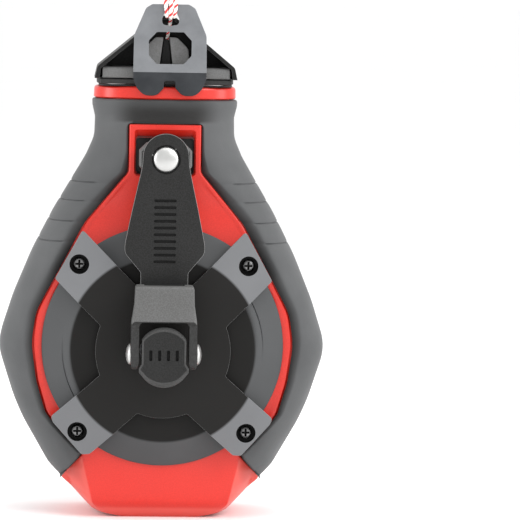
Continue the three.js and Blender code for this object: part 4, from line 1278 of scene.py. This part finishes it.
def crank_arm():
    """A flat blade with cross grooves, rounded at the tip and narrow where the fork holds it."""
    tip_r = 9.5
    tip = arc(tip_r, 90, 4, 4, (0, CRANK_R + 1.1))
    half = [
        (tip_r + 0.12, CRANK_R - 2, 12),
        (10.3, 74, 40),
        (13.6, 59, 60),
        (16.55, 44.5, 20),
        (16.5, 41, 6),
        (9.8, 33, 2),
        (9.8, 20),
        (0, 20),
    ]
    outline = mirrored(tip[:-1] + rounded([tip[-1], *half], step=5))
    low = BRIDGE_HIGH - 2
    side = [(ARM_BACK, 100), (ARM_BACK, 32), (-36.3, 30), (-36.3, low), (ARM_FRONT, low), (ARM_FRONT, 100)]
    profile = prism([(y, DIAL_Z + z) for y, z in rounded(side, closed=False, step=10)], -30, 30, "X")
    blade = common(dial_prism(outline, -60, -30), profile)
    hole = cylinder(3.2, -60, -30, 48, at=KNOB)
    blade = softened(cut(blade, hole), 0.4, 3, 35, edged=True)
    sink = [(0, ARM_FRONT - 1), (6.1, ARM_FRONT - 1), (6.1, ARM_FRONT - 0.01)]
    sink += [(5.5, ARM_FRONT + 1.1), (0, ARM_FRONT + 1.1)]
    tools = [turned(sink, 72, at=KNOB)]
    for k in range(10):
        z = 37.5 + 2.8 * k
        outline = rounded_box(-4.6, 4.6, z - 0.6, z + 0.6, 0.55, 20)
        tools.append(dial_prism(outline, ARM_FRONT - 1, ARM_FRONT + ARM_GROOVE))
    blade = painted(cut(blade, *tools), 0)

    def on_edge(face):
        return -0.96 < face.normal.y < -0.15 and face.center.y < ARM_FRONT + ARM_GROOVE

    def in_groove(face):
        return face.normal.y < -0.96 and ARM_FRONT + 0.3 < face.center.y < ARM_FRONT + 0.6

    # painted highlight on the bevelled rim (slot 1) and painted shade in the groove floors (slot 2)
    blade = painted(painted(blade, 1, on_edge), 2, in_groove)
    tang = block(-8, 8, -46.5, -37, DIAL_Z + 19.8, DIAL_Z + BRIDGE_HIGH)
    made = gathered(blade, softened(tang, 0.3, 2))
    finished(made, "arm", [DARK, DARK_HIGHLIGHT, RECESS_SHADE], "handle", ["crank_arm"], crease=30)


def dome_rivet(name, head, height, shank, length, place, direction, body, node):
    """A domed rivet with a fine collar, its head facing -Y, -X or +X."""
    profile = [*dome(head, height, 91, 9), (head - 0.12, 0.16)]
    profile += [(shank, 0.16), (shank, length), (0, length)]
    axis, sign = ("Y", 1) if direction == "-Y" else ("X", 1 if direction == "-X" else -1)
    made = turned([(r, sign * t) for r, t in profile], 96, axis, place)
    finished(made, name, CHROME, body, [node], crease=50)


def knob():
    """An oblong paddle with cut corners, waisted for the fingertips."""
    front, back = KNOB_LOW.y, KNOB_HIGH.y
    w, h = KNOB_HIGH.x, KNOB_HIGH.z - KNOB_Z
    corner = 3.2
    half = [(w - corner, h, 1), (w, h - corner, 1), (w, corner - h, 1), (w - corner, -h, 1)]
    edge = rounded(mirrored_corners(half), closed=True)
    layers = [(0, -1.6), (0.5, -0.9), (1.3, -0.2), (2.2, 0), (4, -0.7)]
    depth = back - front
    layers += [(depth / 2, -1)] + [(depth - y, grow) for y, grow in reversed(layers)]
    body = skin([[(x, front + y, KNOB_Z + z) for x, z in offset(edge, grow)] for y, grow in layers])
    bore = cylinder(3.4, front - 1, back + 1, 40, at=KNOB)
    # painted highlight: the knob's rim in the lighter grey
    grip = painted(bored(body, bore), 1, lambda one: one.normal.y > -0.75)
    finished(grip, "knob_grip", [BLACK, GREY], "knob", ["knob"])


crank_hub()
push_button()
yoke()
crank_arm()
knob()
dome_rivet("knob_rivet_dome", 5.3, 2.1, 2.9, 12, (0, ARM_FRONT + 1.0, KNOB_Z), "-Y", "handle", "knob_rivet")
for direction, sign, node in (("-X", -1, "hinge_rivet_left"), ("+X", 1, "hinge_rivet_right")):
    place = (sign * (YOKE_HALF + 0.15), HINGE_Y, DIAL_Z)
    dome_rivet(f"{node}_dome", 4.4, 1.85, 2.5, 2.6, place, direction, "handle", node)


# ---------------------------------------------------------------- collar, nose cap and hook

CAP_LOW, CAP_HIGH = node_box("nose_cap")
CAP_FRONT = CAP_LOW.y
CAP_BOTTOM = 181.9
CAP_REAR = 17.6
HINGE_LINE = (20.8, 183)  # y and z of the cap's hinge
HOOK_LOW, HOOK_HIGH = node_box("hook")
HOOK_FRONT = HOOK_LOW.y
HOOK_T = 1.9
HOOK_TOP = HOOK_HIGH.z
HOOK_X = (HOOK_LOW.x + HOOK_HIGH.x) / 2
LINE_Y = -8
LINE_R = 0.8
LINE_HOLE = 2.4
KNUCKLE_R = 2.6
KNUCKLE_X, KNUCKLE_HALF = 11, 4  # the collar's two knuckles: place and half length
CAP_KNUCKLE = 6.6  # half length of the cap's knuckle between them
PIN_HOLE = 1.6
COLLAR_BORE = (25, 14.8)  # half width and half depth of the collar's opening
CAP_WELL = (23.5, 12.8)  # half width and half depth of the hollow under the cap


def oval(half_x, half_y, power=2.6, count=112):
    """A rounded box outline in plan, between an ellipse and a rectangle."""
    points = []
    for k in range(count):
        angle = 2 * math.pi * k / count
        c, s = (math.copysign(abs(v) ** (2 / power), v) for v in (math.cos(angle), math.sin(angle)))
        points.append((half_x * c, half_y * s))
    return points


def oval_loft(sizes):
    """Oval rings (half x, half y, z) skinned into one closed shape."""
    return skin([[(x, y, z) for x, y in oval(a, b)] for a, b, z in sizes])


def pin_x(radius, x0, x1, place, bevel=0.3):
    """A pin along X with bevelled ends, at a place (y, z)."""
    profile = [(0, x0), (radius - bevel, x0), (radius, x0 + bevel)]
    profile += [(radius, x1 - bevel), (radius - bevel, x1), (0, x1)]
    return turned(profile, 48, "X", (0, *place))


def mouth_collar():
    """The red ring that the nose cap closes on, with two hinge knuckles behind."""
    low, top = NECK_TOP + 0.45, 181
    a, b = 29.9, NECK_DEPTH - 0.5
    sizes = [(a - 0.4, b - 0.4, low), (a, b, low + 0.4), (a - 0.1, b - 0.1, top - 1.2)]
    sizes += [(a - 0.4, b - 0.4, top - 0.5), (a - 1.0, b - 1.0, top - 0.1), (a - 1.6, b - 1.6, top)]
    ring = cut(oval_loft(sizes), oval_loft([(*COLLAR_BORE, low - 1), (*COLLAR_BORE, top + 1)]))
    knuckles = []
    for x in (-KNUCKLE_X, KNUCKLE_X):
        start, end = x - KNUCKLE_HALF, x + KNUCKLE_HALF
        barrel = pin_x(KNUCKLE_R, start, end, HINGE_LINE)
        foot = block(start, end, 17.4, HINGE_LINE[0] + 2.5, top - 3, HINGE_LINE[1] - 0.5)
        hole = pin_x(PIN_HOLE, start - 1, end + 1, HINGE_LINE)
        knuckles.append(cut(join(barrel, foot), hole))
    clear = pin_x(3.0, -7, 7, HINGE_LINE, 0)
    finished(gathered(cut(ring, clear), *knuckles), "collar", RED, "root", ["mouth_collar"])


def nose_cap():
    """A dark hood with a thin rim, a ledge across its foot and a recess behind the hook."""
    top, foot = CAP_HIGH.z, CAP_BOTTOM + 2.4
    half = [(0, top), (3.1, top, 3), (28.6, 189.3, 2.5), (29.7, foot), (0, foot)]
    hull = symmetric(half, CAP_FRONT, CAP_REAR)
    roof = top - 1.5
    inner = [(0, roof), (2.8, roof, 1.5), (27.2, 188.5, 1.5), (28.1, CAP_BOTTOM), (0, CAP_BOTTOM)]
    recess = symmetric(inner, CAP_FRONT - 2, -3)
    slot = block(-2.3, HOOK_X + 2.3, CAP_FRONT - 1, -4.6, roof - 2, top + 1)
    # the hood's rounded edges take the painted highlight material
    hull = softened(cut(hull, recess, slot), 0.4, 3, 40, edged=True)
    upper = [(CAP_FRONT + 0.9, 184.5, 0.8), (CAP_FRONT + 0.7, 189, 1.6), (-2, 189.4), (-2, 184.5)]
    ledge = softened(prism(rounded(upper, closed=True), -26.6, 26.6, "X"), 0.5, 3, 40)
    lower = [(CAP_FRONT + 1.5, CAP_BOTTOM + 0.1, 0.6), (CAP_FRONT + 1.3, 184.1, 0.5)]
    lower += [(-2, 184.1), (-2, CAP_BOTTOM + 0.1)]
    lip = softened(prism(rounded(lower, closed=True), -27.4, 27.4, "X"), 0.35, 2, 40)
    plate = [(28.4, 17.2, CAP_BOTTOM), (28.8, 17.6, CAP_BOTTOM + 0.4), (28.8, 17.6, CAP_BOTTOM + 2.7)]
    well = oval_loft([(*CAP_WELL, CAP_BOTTOM - 1), (*CAP_WELL, 187)])
    throat = cylinder(LINE_HOLE, -1, 30, 32, "Z", (0, LINE_Y, CAP_BOTTOM - 3))
    barrel = pin_x(KNUCKLE_R, -CAP_KNUCKLE, CAP_KNUCKLE, HINGE_LINE)
    knuckle = join(barrel, block(-CAP_KNUCKLE, CAP_KNUCKLE, 16.6, 20.8, 183, 186.2))
    knuckle = cut(softened(knuckle, 0.3, 2, 40), pin_x(PIN_HOLE, -8, 8, HINGE_LINE))
    web = prism([(-2.2, 188), (2.2, 188), (0.95, 200.6), (-0.95, 200.6)], -13.2, -12.4)
    solid = cut(join(hull, oval_loft(plate)), well, throat)
    # painted light on the ledge (slot 2); the lip below it in a darker grey (slot 3)
    ledge = painted(cut(ledge, cylinder(LINE_HOLE, 180, 200, 32, "Z", (0, LINE_Y, 0))), 2)
    lip = painted(cut(lip, oval_loft([(*CAP_WELL, 170), (*CAP_WELL, 187)])), 3)
    whole = gathered(solid, ledge, lip, web, knuckle)
    materials = [BLACK, CAP_HIGHLIGHT, LEDGE_LIT_GREY, LEG_GREY]
    finished(whole, "nose_hood", materials, "cap", ["nose_cap"])


def line_guide(side, node):
    """A slanted rib beside the line, its edges rounded over."""
    outline = [(2.7, 190, 0.3), (9.6, 190, 0.3), (9.2, 197, 3), (4.6, 201.5, 2), (1.25, 201.5, 0.3)]
    outline = [(side * x, z, r) for x, z, r in (outline if side > 0 else reversed(outline))]
    made = softened(prism(rounded(outline, closed=True, step=20), -15, -3.4), 0.5, 3, 40)
    # painted light: the whole rib in the highlight grey, standing in for light it lacks in the hood's shade
    finished(made, f"{node}_rib", GREY_HIGHLIGHT, "cap", [node])


def hook():
    """A bent steel plate: eye and window above, and below the bend a chin of two lobes."""
    half = [(0, HOOK_TOP), (7.6, HOOK_TOP, 2), (10.2, HOOK_TOP - 1.6, 2.5)]
    half += [(15, 202.5, 5), (15.2, 187.2), (0, 187.2)]
    plate = symmetric(half, HOOK_FRONT, HOOK_FRONT + HOOK_T, 8)
    window = [(0, 203.9), (5.6, 203.9, 0.8), (8.9, 200.4, 0.8)]
    window += [(8.9, 194.1, 0.8), (5.6, 190.6, 0.8), (0, 190.6)]
    eye = [(0, 212.6), (2.2, 212.6, 1.2), (3.6, 209.3, 1.2), (3.4, 207.0, 1.5), (0, 206.4)]
    tools = [symmetric(points, -30, -15) for points in (window, eye)]
    # the plate's rounded edges take the painted highlight steel
    plate = softened(cut(plate, *tools), 0.3, 3, 35, edged=True)
    bend = [(HOOK_FRONT, 187.9), (HOOK_FRONT + 0.2, 187.2), (-23.0, 184), (-22.6, 177)]
    back = [(-20.9, 177), (-21.2, 184), (HOOK_FRONT + HOOK_T, 187.9)]
    lobes = [
        (0, 189),
        (15.2, 189),
        (15.15, 184.4, 4),
        (13.6, 180.4, 5),
        (10.6, 177.4, 5),
        (5.4, 177.4, 4),
        (2.4, 180.6, 1),
        (2.4, 183.6, 0.9),
        (0, 183.6),
    ]
    chin = common(symmetric(lobes, -30, -15, 6), prism(bend + back, -17, 17, "X"))
    # painted shade: the chin, facing down, in the darker steel
    chin = painted(softened(chin, 0.3, 3, 35), 2)
    made = shifted(gathered(plate, chin), HOOK_X)
    finished(made, "hook_plate", [HOOK_STEEL, HOOK_HIGHLIGHT, HOOK_SHADE], "hook", ["hook"])


def through(points, per_span=8, closed=False):
    """A smooth curve through points (Catmull-Rom), as closely spaced points."""
    count = len(points)
    spans = count if closed else count - 1
    made = []
    for i in range(spans):
        p = []
        for k in (i - 1, i, i + 1, i + 2):
            p.append(Vector(points[k % count] if closed else points[min(max(k, 0), count - 1)]))
        for k in range(per_span):
            t = k / per_span
            a = 2 * p[1] + (p[2] - p[0]) * t
            b = (2 * p[0] - 5 * p[1] + 4 * p[2] - p[3]) * t**2
            c = (3 * p[1] - p[0] - 3 * p[2] + p[3]) * t**3
            made.append((a + b + c) / 2)
    if not closed:
        made.append(Vector(points[-1]))
    return made


def strands(path, radius, pitch, closed=False):
    """Three twisted strands round a path: two shapes, one white pair and one red."""
    across = Vector((1, 0, 0))
    count = len(path)
    lanes = [[], [], []]
    travelled = 0
    total = sum((Vector(b) - Vector(a)).length for a, b in zip(path, path[1:]))
    turns = max(1, round(total / pitch))
    for i, point in enumerate(path):
        if i:
            travelled += (point - path[i - 1]).length
        before = path[i - 1 if closed or i else 0]
        after = path[(i + 1) % count if closed else min(i + 1, count - 1)]
        along = (after - before).normalized()
        out = across.cross(along).normalized()
        side = along.cross(out)
        for lane in range(3):
            angle = 2 * math.pi * (turns * travelled / total + lane / 3)
            lanes[lane].append(point + (out * math.cos(angle) + side * math.sin(angle)) * radius * 0.52)
    tubes = [tube(lane, radius * 0.56, 8, closed) for lane in lanes]
    return gathered(*tubes[:2]), as_object(tubes[2])


def twisted(name, paths, radius, body, nodes, closed=False):
    """A red and white twisted line along one or more paths."""
    whites, reds = zip(*[strands(path, radius, 3.4, closed) for path in paths])
    finished(gathered(*whites), f"{name}_white", WHITE_COTTON, body, nodes)
    finished(gathered(*reds), f"{name}_red", RED_COTTON, body, nodes)


def line():
    inside = through([(0, 0, 111), (0, -2, 135), (0, -4, 158), (0, LINE_Y, 167.6)], 24)
    twisted("line_in_neck", [inside], LINE_R * 0.95, "root", ["line_inside"])
    run = [(0, LINE_Y, 168.6), (0, LINE_Y, 185), (0.2, LINE_Y - 2.6, 199)]
    run += [(HOOK_X, -17.5, 208), (HOOK_X, -20.4, 209.7)]
    twisted("line_to_hook", [through(run, 16)], LINE_R * 0.95, "hook", ["line_run"])
    middle_y = HOOK_FRONT + HOOK_T / 2
    loops = []
    for x_low, x_high, grow in ((-1.5, -2.4, 0), (0, 0, 0.35), (1.5, 2.3, 0.1), (0.7, 1.1, -0.15)):
        points = []
        for k in range(16):
            angle = 2 * math.pi * k / 16
            rise = 0.5 + 0.5 * math.sin(angle)
            x = HOOK_X + x_low + (x_high - x_low) * rise
            y = middle_y + (2.4 + grow) * math.cos(angle)
            points.append((x, y, 214 + (3.5 + grow) * math.sin(angle)))
        loops.append(through(points, 8, closed=True))
    twisted("line_knot", loops, 0.82, "hook", ["line_loop"], closed=True)


mouth_collar()
nose_cap()
line_guide(-1, "line_guide_left")
line_guide(1, "line_guide_right")
hook()
line()


# ---------------------------------------------------------------- parts kept from the model

KEPT = {
    "mouth_gasket": GASKET,
    "cap_hinge_pin": STEEL,
    "wiper_felt_front": FELT,
    "wiper_felt_rear": FELT,
    "ring_gear": ACETAL,
    "sun_gear": ACETAL,
    "planet_carrier": STEEL,
    "gear_backplate": STEEL,
    "spool_drum": BLACK,
    "line_winding": WOUND,
    "spool_axle": STEEL,
    "clutch_pin": STEEL,
    "button_spring": STEEL,
}
for number in range(1, 4):
    KEPT[f"planet_gear_{number}"] = ACETAL
    KEPT[f"planet_pin_{number}"] = STEEL

for node, material in KEPT.items():
    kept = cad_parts[node]
    kept.data.materials.clear()
    kept.data.materials.append(material)
    edges = kept.modifiers.new("edges", "BEVEL")
    edges.width = 0.12 * MM
    edges.segments = 2
    edges.limit_method = "ANGLE"
    edges.angle_limit = math.radians(40)


# ---------------------------------------------------------------- floor, light and camera

VIEW_DISTANCE = 1.4  # metres from the camera to the reel
VIEW_TURN = 1.47  # degrees to the reel's right of straight ahead
VIEW_RISE = 4.63  # degrees above level
VIEW_ROLL = 1.0
LENS = 228.5
AIM = Vector((0.0415, 0, 0.1077))  # the reel stands left of the middle of the frame


def pale_floor():
    """A wide pale floor with a faint mottle."""
    paint = Paint("floor", Specular_IOR_Level=0.2)
    mottle = paint.noise(3, 4)
    paint.colour(paint.blend(mottle, (0.93, 0.93, 0.93, 1), (0.96, 0.96, 0.96, 1)))
    paint.rough(paint.spread(mottle, 0.7, 0.85))
    data = bpy.data.meshes.new("floor")
    mesh = bmesh.new()
    reach = 60
    mesh.faces.new([mesh.verts.new((x * reach, y * reach, 0)) for x, y in SQUARE])
    mesh.to_mesh(data)
    mesh.free()
    data.materials.append(paint.material)
    placed("floor", data)


def soft_box(name, place, size, watts):
    """A soft light of a width and height at a place, pointing at the reel."""
    data = bpy.data.lights.new(name, "AREA")
    data.shape = "RECTANGLE"
    data.size, data.size_y = size
    data.energy = watts
    light = placed(name, data)
    light.location = place
    towards = Vector((0, 0, 0.1)) - Vector(place)
    light.rotation_euler = towards.to_track_quat("-Z", "Y").to_euler()


def studio():
    world = bpy.data.worlds.new("studio")
    world.use_nodes = True
    background = world.node_tree.nodes["Background"]
    background.inputs["Color"].default_value = (1, 1, 1, 1)
    background.inputs["Strength"].default_value = 1.06
    bpy.context.scene.world = world
    soft_box("top", (0.1, -0.1, 1.3), (1.2, 1.2), 7)
    soft_box("key", (0.8, -0.75, 0.9), (0.6, 0.6), 8)
    soft_box("left", (-1.2, -0.35, 0.3), (0.5, 0.9), 8)
    soft_box("right", (1.2, -0.35, 0.25), (0.5, 0.9), 6)


def camera():
    data = bpy.data.cameras.new("camera")
    data.lens = LENS
    data.sensor_width = 36
    data.clip_end = 200
    turn, rise = math.radians(VIEW_TURN), math.radians(VIEW_RISE)
    away = Vector((-math.sin(turn) * math.cos(rise), -math.cos(turn) * math.cos(rise), math.sin(rise)))
    made = placed("camera", data)
    made.location = Vector((0, 0, AIM.z)) + away * VIEW_DISTANCE
    facing = (AIM - made.location).to_track_quat("-Z", "Y")
    made.rotation_mode = "QUATERNION"
    made.rotation_quaternion = facing @ Quaternion((0, 0, 1), math.radians(VIEW_ROLL))
    bpy.context.scene.camera = made


pale_floor()
studio()
camera()
bpy.context.scene.view_settings.view_transform = "Standard"
